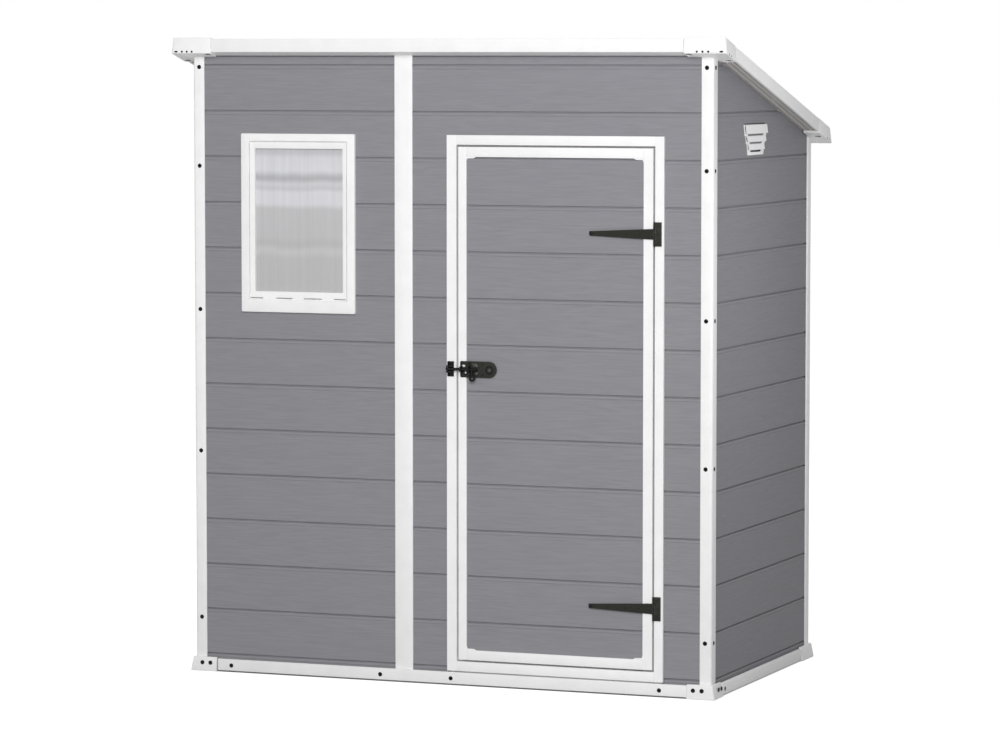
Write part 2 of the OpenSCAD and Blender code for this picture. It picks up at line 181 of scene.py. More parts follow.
def box(bm, low, high):
    """A block between two corners."""
    outline = [(low[0], low[1]), (high[0], low[1]), (high[0], high[1]), (low[0], high[1])]
    prism(bm, outline, "z", (low[2], high[2]))


def loft(bm, rings, closed=False):
    """Walls between rings of equally many points; open lofts get two end faces."""
    rings = [[bm.verts.new(p) for p in ring] for ring in rings]
    pairs = list(zip(rings, rings[1:] + rings[:1])) if closed else list(zip(rings, rings[1:]))
    for near, far in pairs:
        for i in range(len(near)):
            j = (i + 1) % len(near)
            bm.faces.new((near[i], near[j], far[j], far[i]))
    if not closed:
        bm.faces.new(rings[0])
        bm.faces.new(rings[-1])


def circle(radius, steps, centre=(0.0, 0.0), start=0.0, sweep=2 * math.pi):
    """Points round a circle; a sweep short of a full turn keeps both of its ends."""
    last = steps if sweep >= 2 * math.pi else steps - 1
    return [
        (
            centre[0] + radius * math.cos(start + sweep * i / last),
            centre[1] + radius * math.sin(start + sweep * i / last),
        )
        for i in range(steps)
    ]


def rounded_box_outline(low, high, radius, steps=4):
    """Outline of a rectangle with round corners."""
    corners = (
        (high[0] - radius, high[1] - radius, 0.0),
        (low[0] + radius, high[1] - radius, 0.5),
        (low[0] + radius, low[1] + radius, 1.0),
        (high[0] - radius, low[1] + radius, 1.5),
    )
    points = []
    for x, z, turn in corners:
        points += circle(radius, steps, (x, z), turn * math.pi, math.pi / 2)
    return points


def cad_solid(node):
    """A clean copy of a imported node: welded, with each flat face in one piece again."""
    bm = bmesh.new()
    bm.from_mesh(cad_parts[node].data)
    bmesh.ops.remove_doubles(bm, verts=bm.verts, dist=2e-5)
    bmesh.ops.dissolve_limit(
        bm, angle_limit=math.radians(1.5), verts=bm.verts, edges=bm.edges
    )
    return bm


def make_object(name, bm, material):
    """A mesh object of bm, with its faces turned outwards."""
    bmesh.ops.recalc_face_normals(bm, faces=bm.faces)
    mesh = bpy.data.meshes.new(name)
    bm.to_mesh(mesh)
    bm.free()
    mesh.materials.append(material)
    obj = bpy.data.objects.new(name, mesh)
    bpy.context.scene.collection.objects.link(obj)
    return obj


def apply_modifiers(obj):
    """Make the mesh that the modifiers give into the object's own mesh."""
    depsgraph = bpy.context.evaluated_depsgraph_get()
    mesh = bpy.data.meshes.new_from_object(obj.evaluated_get(depsgraph))
    old = obj.data
    obj.modifiers.clear()
    obj.data = mesh
    bpy.data.meshes.remove(old)


def cut(obj, bm):
    """Take the closed shapes in bm out of the object."""
    cutter = make_object("cutter", bm, obj.data.materials[0])
    modifier = obj.modifiers.new("cut", "BOOLEAN")
    modifier.operation = "DIFFERENCE"
    modifier.solver = "EXACT"
    modifier.use_self = True
    modifier.object = cutter
    apply_modifiers(obj)
    mesh = cutter.data
    bpy.data.objects.remove(cutter)
    bpy.data.meshes.remove(mesh)


def shade(obj, angle=32):
    """Smooth shading with a crease at each edge sharper than angle degrees."""
    mesh = obj.data
    mesh.polygons.foreach_set("use_smooth", [True] * len(mesh.polygons))
    mesh.set_sharp_from_angle(angle=math.radians(angle))


def soften(obj, width, segments=2):
    """Round the sharp edges, as a mould or a press leaves them."""
    bevel = obj.modifiers.new("rounded edges", "BEVEL")
    bevel.width = width
    bevel.segments = segments
    bevel.limit_method = "ANGLE"
    bevel.angle_limit = math.radians(35)
    bevel.use_clamp_overlap = True
    apply_modifiers(obj)
    shade(obj, 40)


def finish(obj, body, slot, *nodes):
    """Give a piece its body and hide any nodes that it stands for. Its slot is not used."""
    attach(obj, body)
    if nodes:
        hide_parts(*nodes)


# ---- Materials ----


def add_node(tree, kind, inputs=None, **settings):
    """Add a shader node, set its settings, and set or link its inputs."""
    node = tree.nodes.new(kind)
    for name, value in settings.items():
        setattr(node, name, value)
    for socket, value in (inputs or {}).items():
        if isinstance(value, bpy.types.NodeSocket):
            tree.links.new(value, node.inputs[socket])
        else:
            node.inputs[socket].default_value = value
    return node


def new_material(name):
    material = bpy.data.materials.new(name)
    material.use_nodes = True
    material.node_tree.nodes.clear()
    return material, material.node_tree


def add_surface(tree, colour_value, roughness, normal, **inputs):
    """The shader at the end of a material."""
    shader = add_node(
        tree, "ShaderNodeBsdfPrincipled",
        {"Base Color": colour_value, "Roughness": roughness, **inputs},
    )
    if normal is not None:
        tree.links.new(normal, shader.inputs["Normal"])
    add_node(tree, "ShaderNodeOutputMaterial", {"Surface": shader.outputs["BSDF"]})


def toned(value, share):
    """A colour made darker by a share under 1, or paler by one over 1."""
    return (*[c * share for c in value[:3]], 1.0)


def every(*sizes_mm):
    """Texture scale, or one for each axis, at which a pattern comes again after so many mm."""
    scales = tuple(1000 / size for size in sizes_mm)
    return scales if len(scales) > 1 else scales[0]


def grained_polypropylene(name, base, along_slope=False):
    """Polypropylene, blow moulded in a wood-grained tool: satin, with long fine streaks
    that catch the light and turn a shade darker where the grain is deep."""
    material, tree = new_material(name)
    place = add_node(tree, "ShaderNodeTexCoord").outputs["Object"]
    # Grain streaks are 80 mm long; real ones are 1 mm high and are drawn 3 mm high to show.
    stretch = every(3, 80, 3) if along_slope else every(80, 80, 3)
    streaks = add_node(
        tree, "ShaderNodeTexNoise",
        {
            "Vector": add_node(
                tree, "ShaderNodeMapping", {"Vector": place, "Scale": stretch}
            ).outputs["Vector"],
            "Scale": 1.0, "Detail": 3.0, "Roughness": 0.55,
        },
    ).outputs["Fac"]
    # Cathedral figure: slow loops, 22 mm high and 310 mm long.
    loops_stretch = every(22, 310, 22) if along_slope else every(310, 310, 22)
    loops = add_node(
        tree, "ShaderNodeTexNoise",
        {
            "Vector": add_node(
                tree, "ShaderNodeMapping", {"Vector": place, "Scale": loops_stretch}
            ).outputs["Vector"],
            "Scale": 1.0, "Detail": 1.0, "Roughness": 0.5, "Distortion": 0.6,
        },
    ).outputs["Fac"]
    # The loops' level, times so many radians, folds into rings that lie faintly over the streaks.
    folds, faint = 26.0, 0.07
    rings = add_node(
        tree, "ShaderNodeMath", {0: loops, 1: folds}, operation="MULTIPLY"
    ).outputs[0]
    rings = add_node(tree, "ShaderNodeMath", {0: rings}, operation="SINE").outputs[0]
    grain = add_node(
        tree, "ShaderNodeMath", {0: rings, 1: faint, 2: streaks}, operation="MULTIPLY_ADD"
    ).outputs[0]
    tint = add_node(tree, "ShaderNodeValToRGB", {"Fac": grain})
    tint.color_ramp.elements[0].position = 0.30
    tint.color_ramp.elements[0].color = toned(base, 0.925)
    tint.color_ramp.elements[1].position = 0.68
    tint.color_ramp.elements[1].color = toned(base, 1.035)
    roughness = add_node(
        tree, "ShaderNodeMapRange",
        {"Value": grain, "From Min": 0.3, "From Max": 0.7, "To Min": 0.52, "To Max": 0.62},
    ).outputs["Result"]
    bump = add_node(
        tree, "ShaderNodeBump", {"Height": grain, "Strength": 0.35, "Distance": 0.0006}
    ).outputs["Normal"]
    add_surface(
        tree, tint.outputs["Color"], roughness, bump,
        **{"IOR": 1.49, "Specular IOR Level": 0.03},
    )
    return material


def smooth_polypropylene(name, base, roughness_low=0.36):
    """Polypropylene, injection moulded in a finely sparked tool: clean and satin, with a
    faint orange peel and a trace of unevenness in its white."""
    material, tree = new_material(name)
    place = add_node(tree, "ShaderNodeTexCoord").outputs["Object"]
    # Spark pits of 0.3 mm are drawn 1.6 mm wide to show.
    pits = add_node(
        tree, "ShaderNodeTexNoise",
        {"Vector": place, "Scale": every(1.6), "Detail": 2.0, "Roughness": 0.6},
    ).outputs["Fac"]
    # Sinks and flow marks, 62 mm across.
    flow = add_node(
        tree, "ShaderNodeTexNoise",
        {"Vector": place, "Scale": every(62), "Detail": 2.0, "Roughness": 0.5},
    ).outputs["Fac"]
    tint = add_node(tree, "ShaderNodeValToRGB", {"Fac": flow})
    tint.color_ramp.elements[0].position = 0.32
    tint.color_ramp.elements[0].color = toned(base, 0.965)
    tint.color_ramp.elements[1].position = 0.62
    tint.color_ramp.elements[1].color = base
    roughness = add_node(
        tree, "ShaderNodeMapRange",
        {"Value": flow, "To Min": roughness_low, "To Max": roughness_low + 0.12},
    ).outputs["Result"]
    bump = add_node(
        tree, "ShaderNodeBump", {"Height": pits, "Strength": 0.12, "Distance": 0.0004}
    ).outputs["Normal"]
    add_surface(
        tree, tint.outputs["Color"], roughness, bump,
        **{"IOR": 1.49, "Specular IOR Level": 0.10},
    )
    return material


def dimpled_polypropylene(name, base):
    """Polypropylene, blow moulded floor: matt, with raised pips that give grip and gather dust."""
    material, tree = new_material(name)
    place = add_node(tree, "ShaderNodeTexCoord").outputs["Object"]
    # Pips stand 9 mm apart.
    pips = add_node(
        tree, "ShaderNodeTexVoronoi",
        {"Vector": place, "Scale": every(9), "Randomness": 0.0},
    ).outputs["Distance"]
    raised = add_node(
        tree, "ShaderNodeMapRange",
        {"Value": pips, "From Min": 0.22, "From Max": 0.36, "To Min": 1.0, "To Max": 0.0},
        interpolation_type="SMOOTHSTEP",
    ).outputs["Result"]
    # Dust lies in patches, 140 mm across.
    dust = add_node(
        tree, "ShaderNodeTexNoise", {"Vector": place, "Scale": every(140), "Detail": 4.0}
    ).outputs["Fac"]
    tint = add_node(tree, "ShaderNodeValToRGB", {"Fac": dust})
    tint.color_ramp.elements[0].position = 0.35
    tint.color_ramp.elements[0].color = toned(base, 0.90)
    tint.color_ramp.elements[1].position = 0.65
    tint.color_ramp.elements[1].color = toned(base, 1.06)
    bump = add_node(
        tree, "ShaderNodeBump", {"Height": raised, "Strength": 0.5, "Distance": 0.0008}
    ).outputs["Normal"]
    add_surface(tree, tint.outputs["Color"], 0.66, bump, **{"IOR": 1.49})
    return material


def fluted_polystyrene(name, base, low, high):
    """Polystyrene sheet, extruded with upright flutes: clear but for its flutes. Its colour holds
    painted light and shade in soft level stripes, paler towards the top."""
    material, tree = new_material(name)
    place = add_node(tree, "ShaderNodeTexCoord").outputs["Object"]
    # Slow waves, 90 mm long and 200 mm high, bend the edges of the painted stripes.
    waves = add_node(
        tree, "ShaderNodeTexNoise",
        {
            "Vector": add_node(
                tree, "ShaderNodeMapping", {"Vector": place, "Scale": every(90, 90, 200)}
            ).outputs["Vector"],
            "Scale": 1.0, "Detail": 1.0,
        },
    ).outputs["Fac"]
    height = add_node(tree, "ShaderNodeSeparateXYZ", {"Vector": place}).outputs["Z"]
    sway = 0.018
    bent = add_node(
        tree, "ShaderNodeMath", {0: waves, 1: sway, 2: height}, operation="MULTIPLY_ADD"
    ).outputs[0]
    share = add_node(
        tree, "ShaderNodeMapRange",
        {"Value": bent, "From Min": low.z + sway / 2, "From Max": high.z + sway / 2},
    ).outputs["Result"]
    # Painted light and shade in level stripes across the pane, not the sheet's own tint.
    painted_light_bands = add_node(tree, "ShaderNodeValToRGB", {"Fac": share})
    painted_light_bands.color_ramp.interpolation = "EASE"
    # Each stop: share of the pane's height, and the level of the painted light and shade there.
    # The upper stripes get a bluer painted light.
    upper, bluer = 0.6, 1.03
    stops = (
        (0.00, 0.88), (0.23, 0.89), (0.29, 1.00), (0.34, 0.87), (0.40, 0.94),
        (0.57, 0.95), (0.62, 1.22), (0.69, 1.22), (0.72, 1.04), (0.75, 1.12),
        (0.79, 0.82), (0.85, 1.24), (0.92, 1.20), (0.97, 0.96), (1.00, 0.84),
    )
    ramp = painted_light_bands.color_ramp.elements
    while len(ramp) < len(stops):
        ramp.new(0.5)
    for element, (position, level) in zip(ramp, stops):
        element.position = position
        element.color = toned(base, level)
        if position > upper:
            element.color[2] *= bluer
    # Draw lines of the extrusion: 8 mm apart and taller than the pane.
    lines = add_node(
        tree, "ShaderNodeTexNoise",
        {
            "Vector": add_node(
                tree, "ShaderNodeMapping", {"Vector": place, "Scale": every(8.3, 8.3, 620)}
            ).outputs["Vector"],
            "Scale": 1.0, "Detail": 2.0,
        },
    ).outputs["Fac"]
    lined = add_node(
        tree, "ShaderNodeMix",
        {0: lines, 6: (0.84, 0.84, 0.83, 1.0), 7: (1.0, 1.0, 1.0, 1.0)},
        data_type="RGBA",
    ).outputs[2]
    painted_light_and_lines = add_node(
        tree, "ShaderNodeMix", {0: 1.0, 6: painted_light_bands.outputs["Color"], 7: lined},
        data_type="RGBA", blend_type="MULTIPLY",
    ).outputs[2]
    add_surface(
        tree, painted_light_and_lines, 0.32, None, **{"IOR": 1.59, "Transmission Weight": 0.22}
    )
    return material


def powder_coated_steel(name, base, dullest=0.60, gloss=0.09):
    """Mild steel, pressed and powder coated black: dull sheen over a fine leathery skin,
    brighter where hands have rubbed it."""
    material, tree = new_material(name)
    place = add_node(tree, "ShaderNodeTexCoord").outputs["Object"]
    # The powder's skin ripples every 2.1 mm; a real one is finer and is drawn coarse to show.
    skin = add_node(
        tree, "ShaderNodeTexNoise",
        {"Vector": place, "Scale": every(2.1), "Detail": 3.0, "Roughness": 0.6},
    ).outputs["Fac"]
    tint = add_node(tree, "ShaderNodeValToRGB", {"Fac": skin})
    tint.color_ramp.elements[0].position = 0.30
    tint.color_ramp.elements[0].color = toned(base, 0.72)
    tint.color_ramp.elements[1].position = 0.72
    tint.color_ramp.elements[1].color = toned(base, 1.25)
    roughness = add_node(
        tree, "ShaderNodeMapRange", {"Value": skin, "To Min": dullest - 0.16, "To Max": dullest}
    ).outputs["Result"]
    bump = add_node(
        tree, "ShaderNodeBump", {"Height": skin, "Strength": 0.25, "Distance": 0.0005}
    ).outputs["Normal"]
    add_surface(
        tree, tint.outputs["Color"], roughness, bump,
        **{"IOR": 1.5, "Specular IOR Level": gloss},
    )
    return material


def blacked_steel(name, base):
    """Steel, heat blacked: near black metal with a dull, slightly patchy shine."""
    material, tree = new_material(name)
    place = add_node(tree, "ShaderNodeTexCoord").outputs["Object"]
    # Patches are 3 mm wide.
    patches = add_node(
        tree, "ShaderNodeTexNoise", {"Vector": place, "Scale": every(3), "Detail": 2.0}
    ).outputs["Fac"]
    tint = add_node(tree, "ShaderNodeValToRGB", {"Fac": patches})
    tint.color_ramp.elements[0].color = toned(base, 0.7)
    tint.color_ramp.elements[1].color = toned(base, 1.4)
    add_surface(tree, tint.outputs["Color"], 0.5, None, **{"Metallic": 1.0})
    return material


def matt_black_shade(name, base):
    """Dead flat black, as from a spark-eroded mould, that mirrors nothing round it: painted shade
    in the corner caps' holes.
    """
    material, tree = new_material(name)
    add_surface(tree, base, 0.95, None, **{"Specular IOR Level": 0.02})
    return material


BOARDS = "Grained polypropylene boards"
ROOFING = "Grained polypropylene roof"
WHITE = "White moulded polypropylene"
OFF_WHITE = "Off-white moulded polypropylene"
FLOORING = "Dimpled polypropylene floor"
GLAZING = "Fluted polystyrene sheet"
IRON = "Black powder-coated steel"
RUBBED = "Rubbed powder-coated steel"
SCREWS = "Blacked steel"
# Painted shade for the corner caps' holes.
HOLE_SHADE_DISCS = "Matt black painted hole shade"


def finishes(name):
    """The shed's materials, each made when it is first asked for."""
    known = bpy.data.materials.get(name)
    if known is not None:
        return known
    colours = bpy.context.scene.shed_colours
    if name == BOARDS:
        return grained_polypropylene(name, tuple(colours.boards))
    if name == ROOFING:
        return grained_polypropylene(name, tuple(colours.roof), along_slope=True)
    if name == WHITE:
        return smooth_polypropylene(name, tuple(colours.trims))
    if name == OFF_WHITE:
        return smooth_polypropylene(name, tuple(colours.base), 0.42)
    if name == FLOORING:
        return dimpled_polypropylene(name, tuple(colours.floor))
    if name == GLAZING:
        return fluted_polystyrene(name, tuple(colours.pane), *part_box("window_pane"))
    if name == IRON:
        return powder_coated_steel(name, tuple(colours.iron))
    if name == RUBBED:
        return powder_coated_steel(name, tuple(colours.iron), 0.42, 0.5)
    if name == SCREWS:
        return blacked_steel(name, tuple(colours.screws))
    if name == HOLE_SHADE_DISCS:
        return matt_black_shade(name, tuple(colours.painted_hole_shade))
    raise ValueError(f"there is no finish named {name}")


# ---- Shapes that several pieces share ----


def board_face(sizes, low, high):
    """(depth, height) points up a boarded face. Over each board's top edge there is a groove,
    with a sloping lip and a fine step under it."""
    points = [(0.0, low)]
    half = sizes.groove_width / 2
    height = sizes.first
    while height < high - 3 * half:
        under = height - half - sizes.lip
        if under - 0.006 > low:
            # The fine step, then the lip, then the groove with its slanted sides.
            points += [
                (0.0, under - 0.0044), (sizes.step, under - 0.0028), (0.0, under - 0.0010),
                (0.0, under), (sizes.step, height - half),
                (sizes.groove_depth, height - half + 0.0006),
                (sizes.groove_depth, height + half - 0.0008), (0.0, height + half),
            ]
        height += sizes.pitch
    return points


def inner_face(sizes, low, high):
    """(depth, height) points up the inner skin of a wall panel, with a plain V at each groove."""
    half, deep, clear = 0.003, 0.0016, 0.004
    points = [(0.0, low)]
    height = sizes.first
    while height < high - clear:
        if height - clear > low:
            points += [(0.0, height - half), (deep, height), (0.0, height + half)]
        height += sizes.pitch
    return points


def panel_outline(sizes, outer, inner, low, high_outer, high_inner):
    """Section through a wall panel, across its thickness and up. A notch runs under its top."""
    into = 1 if inner > outer else -1
    face = [(outer + into * d, z) for d, z in board_face(sizes, low, high_outer)]
    skin = [(inner - into * d, z) for d, z in inner_face(sizes, low, high_inner)]
    deep, slant = outer + into * 0.0046, 0.0006
    notch_low, notch_high = high_outer - 0.0056, high_outer - 0.0006
    top = [
        (outer, notch_low), (deep, notch_low + slant),
        (deep, notch_high - slant), (outer, notch_high),
    ]
    return face + top + [(outer, high_outer), (inner, high_inner)] + skin[::-1]


def screw_template(diameter, finish_name):
    """Vertices and faces of a pan-head screw with a cross recess; it looks along +Z."""
    radius = diameter / 2
    bm = bmesh.new()
    rings = ((1.0, -0.0010), (1.0, 0.0003), (0.93, 0.0007), (0.72, 0.0010))
    loft(bm, [[(x, y, z) for x, y in circle(radius * share, 20)] for share, z in rings])
    head = make_object("screw", bm, finishes(finish_name))
    bm = bmesh.new()
    long, wide = radius * 0.56, radius * 0.15
    for reach in ((long, wide), (wide, long)):
        box(bm, (-reach[0], -reach[1], 0.0), (reach[0], reach[1], 0.002))
    cut(head, bm)
    vertices = [v.co.copy() for v in head.data.vertices]
    faces = [tuple(p.vertices) for p in head.data.polygons]
    mesh = head.data
    bpy.data.objects.remove(head)
    bpy.data.meshes.remove(mesh)
    return vertices, faces


def screw_set(name, places, diameter, body, finish_name=SCREWS):
    """One object with a screw at each (point, direction), each with its cross turned further."""
    spin = 0.35  # radians from one screw's cross to the next
    vertices, faces = screw_template(diameter, finish_name)
    bm = bmesh.new()
    for number, (point, direction) in enumerate(places):
        turn = Vector(direction).to_track_quat("Z", "Y").to_matrix().to_4x4()
        turn = Matrix.Translation(point) @ turn @ Matrix.Rotation(spin * number, 4, "Z")
        made = [bm.verts.new(turn @ v) for v in vertices]
        for face in faces:
            bm.faces.new([made[i] for i in face])
    obj = make_object(name, bm, finishes(finish_name))
    shade(obj)
    finish(obj, body, "black_iron")


# ---- Walls and floor ----


class SHED_OT_wall_boards(bpy.types.Operator):
    """Board panels of the four walls, with their grooves and the hole for the window"""

    bl_idname = "shed.wall_boards"
    bl_label = "Wall Boards"

    def execute(self, context):
        sizes = context.scene.shed_boards
        across = {
            "front_wall_window": "boards_window_bay",
            "front_wall_left_of_door": "boards_latch_side",
            "front_wall_right_of_door": "boards_hinge_side",
            "front_wall_over_door": "boards_over_door",
            "back_wall_left": "boards_back_left",
            "back_wall_right": "boards_back_right",
        }
        for node, name in across.items():
            low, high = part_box(node)
            outer, inner = (low.y, high.y) if low.y < 0 else (high.y, low.y)
            bm = bmesh.new()
            outline = panel_outline(sizes, outer, inner, low.z, roof_z(outer), roof_z(inner))
            prism(bm, outline, "x", (low.x, high.x))
            obj = make_object(name, bm, finishes(BOARDS))
            if node == "front_wall_window":
                lap = 0.015  # how far the window's frame covers the wall round the hole
                edge_low, edge_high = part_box("window_frame")
                bm = bmesh.new()
                box(
                    bm,
                    (edge_low.x + lap, low.y - PAST, edge_low.z + lap),
                    (edge_high.x - lap, high.y + PAST, edge_high.z - lap),
                )
                cut(obj, bm)
            finish(obj, "root", "wall_grey", node)
        for side, sign in (("left", -1), ("right", 1)):
            node = f"side_wall_{side}"
            low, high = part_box(node)
            outer, inner = (high.x, low.x) if sign > 0 else (low.x, high.x)
            # Made too tall, then cut along the roof's slope.
            over = high.z + 0.02
            bm = bmesh.new()
            outline = panel_outline(sizes, outer, inner, low.z, over, over)
            prism(bm, outline, "y", (low.y, high.y))
            cutting = bmesh.ops.bisect_plane(
                bm, geom=bm.verts[:] + bm.edges[:] + bm.faces[:],
                plane_co=(0, low.y, roof_z(low.y)), plane_no=(0, FALL, 1), clear_outer=True,
            )
            rim = [e for e in cutting["geom_cut"] if isinstance(e, bmesh.types.BMEdge)]
            bmesh.ops.contextual_create(bm, geom=rim)
            obj = make_object(f"boards_{side}_side", bm, finishes(BOARDS))
            self.vent_recess(obj, side, outer, sign)
            finish(obj, "root", "wall_grey", node)
        return {"FINISHED"}

    def vent_recess(self, obj, side, outer, sign):
        """The hole behind a vent's lowest slot, and the slit that its top hooks into."""
        low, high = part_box(f"vent_{side}")
        middle = (low.y + high.y) / 2
        bm = bmesh.new()
        for half, bottom, top, depth in (
            (0.100, high.z - 0.003, high.z + 0.0042, 0.008),
            (0.062, low.z + 0.003, low.z + 0.016, 0.012),
        ):
            ends = sorted((outer - sign * depth, outer + sign * PAST / 2))
            box(bm, (ends[0], middle - half, bottom), (ends[1], middle + half, top))
        cut(obj, bm)


class SHED_OT_floor(bpy.types.Operator):
    """Floor panel with planked top and a ribbed underside"""

    bl_idname = "shed.floor"
    bl_label = "Floor"

    def execute(self, context):
        low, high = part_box("floor_panel")
        planks, pockets = 14, 8
        joint, deep = 0.0025, 0.002
        wide = (high.x - low.x) / planks
        sole = low.z + 0.0005
        outline = [(low.x + wide * i, sole) for i in range(planks)]
        outline += [(high.x, sole), (high.x, high.z)]
        for i in range(planks - 1, 0, -1):
            x = low.x + wide * i
            outline += [(x + joint, high.z), (x, high.z - deep), (x - joint, high.z)]
        outline.append((low.x, high.z))
        bm = bmesh.new()
        stations = [low.y + (high.y - low.y) * i / pockets for i in range(pockets + 1)]
        prism(bm, outline, "y", stations)
        bmesh.ops.recalc_face_normals(bm, faces=bm.faces)
        under = [f for f in bm.faces if f.normal.z < -0.9]
        # Pockets with sloping sides between the ribs of the underside.
        half_rib, slope, pocket = 0.006, 0.003, 0.014
        bmesh.ops.inset_individual(bm, faces=under, thickness=half_rib, depth=0)
        bmesh.ops.inset_individual(bm, faces=under, thickness=slope, depth=-pocket)
        obj = make_object("floor_planks", bm, finishes(FLOORING))
        finish(obj, "root", "floor_grey", "floor_panel")
        return {"FINISHED"}


# ---- Base ----


class SHED_OT_base(bpy.types.Operator):
    """Base rails and corner feet with their screws"""

    bl_idname = "shed.base"
    bl_label = "Base"

    def execute(self, context):
        trims = context.scene.shed_trims
        # Each front or back rail butts its right foot and stops short of its left one.
        gaps = {0: (0.0040, 0.0003), 1: (0.0003, 0.0003)}
        for side, axis in (("front", 0), ("back", 0), ("left", 1), ("right", 1)):
            node = f"base_rail_{side}"
            bm = cad_solid(node)
            low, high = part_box(node)
            for vertex in bm.verts:
                at_high = vertex.co[axis] > (low[axis] + high[axis]) / 2
                vertex.co[axis] += -gaps[axis][1] if at_high else gaps[axis][0]
            obj = make_object(f"rail_{side}", bm, finishes(OFF_WHITE))
            soften(obj, 0.0015, 3)
            finish(obj, "root", "trim_white", node)
        bm = cad_solid("corner_feet")
        corner_x, corner_y = POST_FRONT[1].x, -POST_FRONT[0].y
        # The outer faces of the feet lean in from the ground to their tops.
        for vertex in bm.verts:
            if vertex.co.z > 0.02:
                for axis, corner, lean in ((0, corner_x, 0.008), (1, corner_y, 0.004)):
                    if abs(vertex.co[axis]) > corner + 0.002:
                        vertex.co[axis] -= math.copysign(lean, vertex.co[axis])
        obj = make_object("feet", bm, finishes(OFF_WHITE))
        soften(obj, 0.002, 3)
        finish(obj, "root", "trim_white", "corner_feet")
        self.screws(trims, corner_x, corner_y)
        return {"FINISHED"}

    def screws(self, trims, corner_x, corner_y):
        on_rail, on_foot = 0.0215, 0.0270  # heights of the screws
        out = 0.0122  # from a post's face out to its foot's, at the height of the screws
        rail_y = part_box("base_rail_front")[0].y
        rail_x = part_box("base_rail_right")[1].x
        places = []
        for x in (-0.7355, -0.2235, 0.0140, 0.6980):
            places += [((x, rail_y, on_rail), (0, -1, 0)), ((x, -rail_y, on_rail), (0, 1, 0))]
        for sign in (-1, 1):
            places.append(((sign * rail_x, 0.102 - corner_y, on_rail), (sign, 0, 0)))
            for reach in (0.027, 0.055):
                x = sign * (corner_x - reach)
                places += [
                    ((x, -corner_y - out, on_foot), (0, -1, 0)),
                    ((x, corner_y + out, on_foot), (0, 1, 0)),
                ]
            for reach in (0.036, 0.063):
                places.append(((sign * (corner_x + out), reach - corner_y, on_foot), (sign, 0, 0)))
        screw_set("screws_base", places, trims.screw, "root")


# ---- Posts ----


class SHED_OT_posts(bpy.types.Operator):
    """Corner and middle posts with their rows of screws"""

    bl_idname = "shed.posts"
    bl_label = "Posts"

    def execute(self, context):
        trims = context.scene.shed_trims
        heights = (0.171, 0.701, 1.149, 1.601, 1.911)
        from_corner, under_roof = 0.021, 0.02
        places = []
        for end, sign_y in (("front", -1), ("back", 1)):
            for side, sign in (("left", -1), ("right", 1)):
                node = f"corner_post_{end}_{side}"
                obj = make_object(f"post_{end}_{side}", cad_solid(node), finishes(WHITE))
                soften(obj, trims.edge)
                finish(obj, "root", "trim_white", node)
                low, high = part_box(node)
                out_x = high.x if sign > 0 else low.x
                out_y = low.y if sign_y < 0 else high.y
                for height in heights:
                    if height > roof_z(out_y) - under_roof:
                        continue
                    places.append(((out_x - sign * from_corner, out_y, height), (0, sign_y, 0)))
                    if end == "front":
                        places.append(((out_x, out_y + from_corner, height), (sign, 0, 0)))
            node = f"mid_post_{end}"
            obj = make_object(f"middle_post_{end}", cad_solid(node), finishes(WHITE))
            soften(obj, trims.edge)
            finish(obj, "root", "trim_white", node)
        screw_set("screws_posts", places, trims.screw, "root")
        return {"FINISHED"}


# ---- Window ----


def inset_ring(low, high, insets, y, radius):
    """Rounded rectangle in a wall's face, in from the corners by left, right, bottom and top."""
    left, right, bottom, top = insets
    outline = rounded_box_outline(
        (low.x + left, low.z + bottom), (high.x - right, high.z - top), radius
    )
    return [(x, y, z) for x, z in outline]


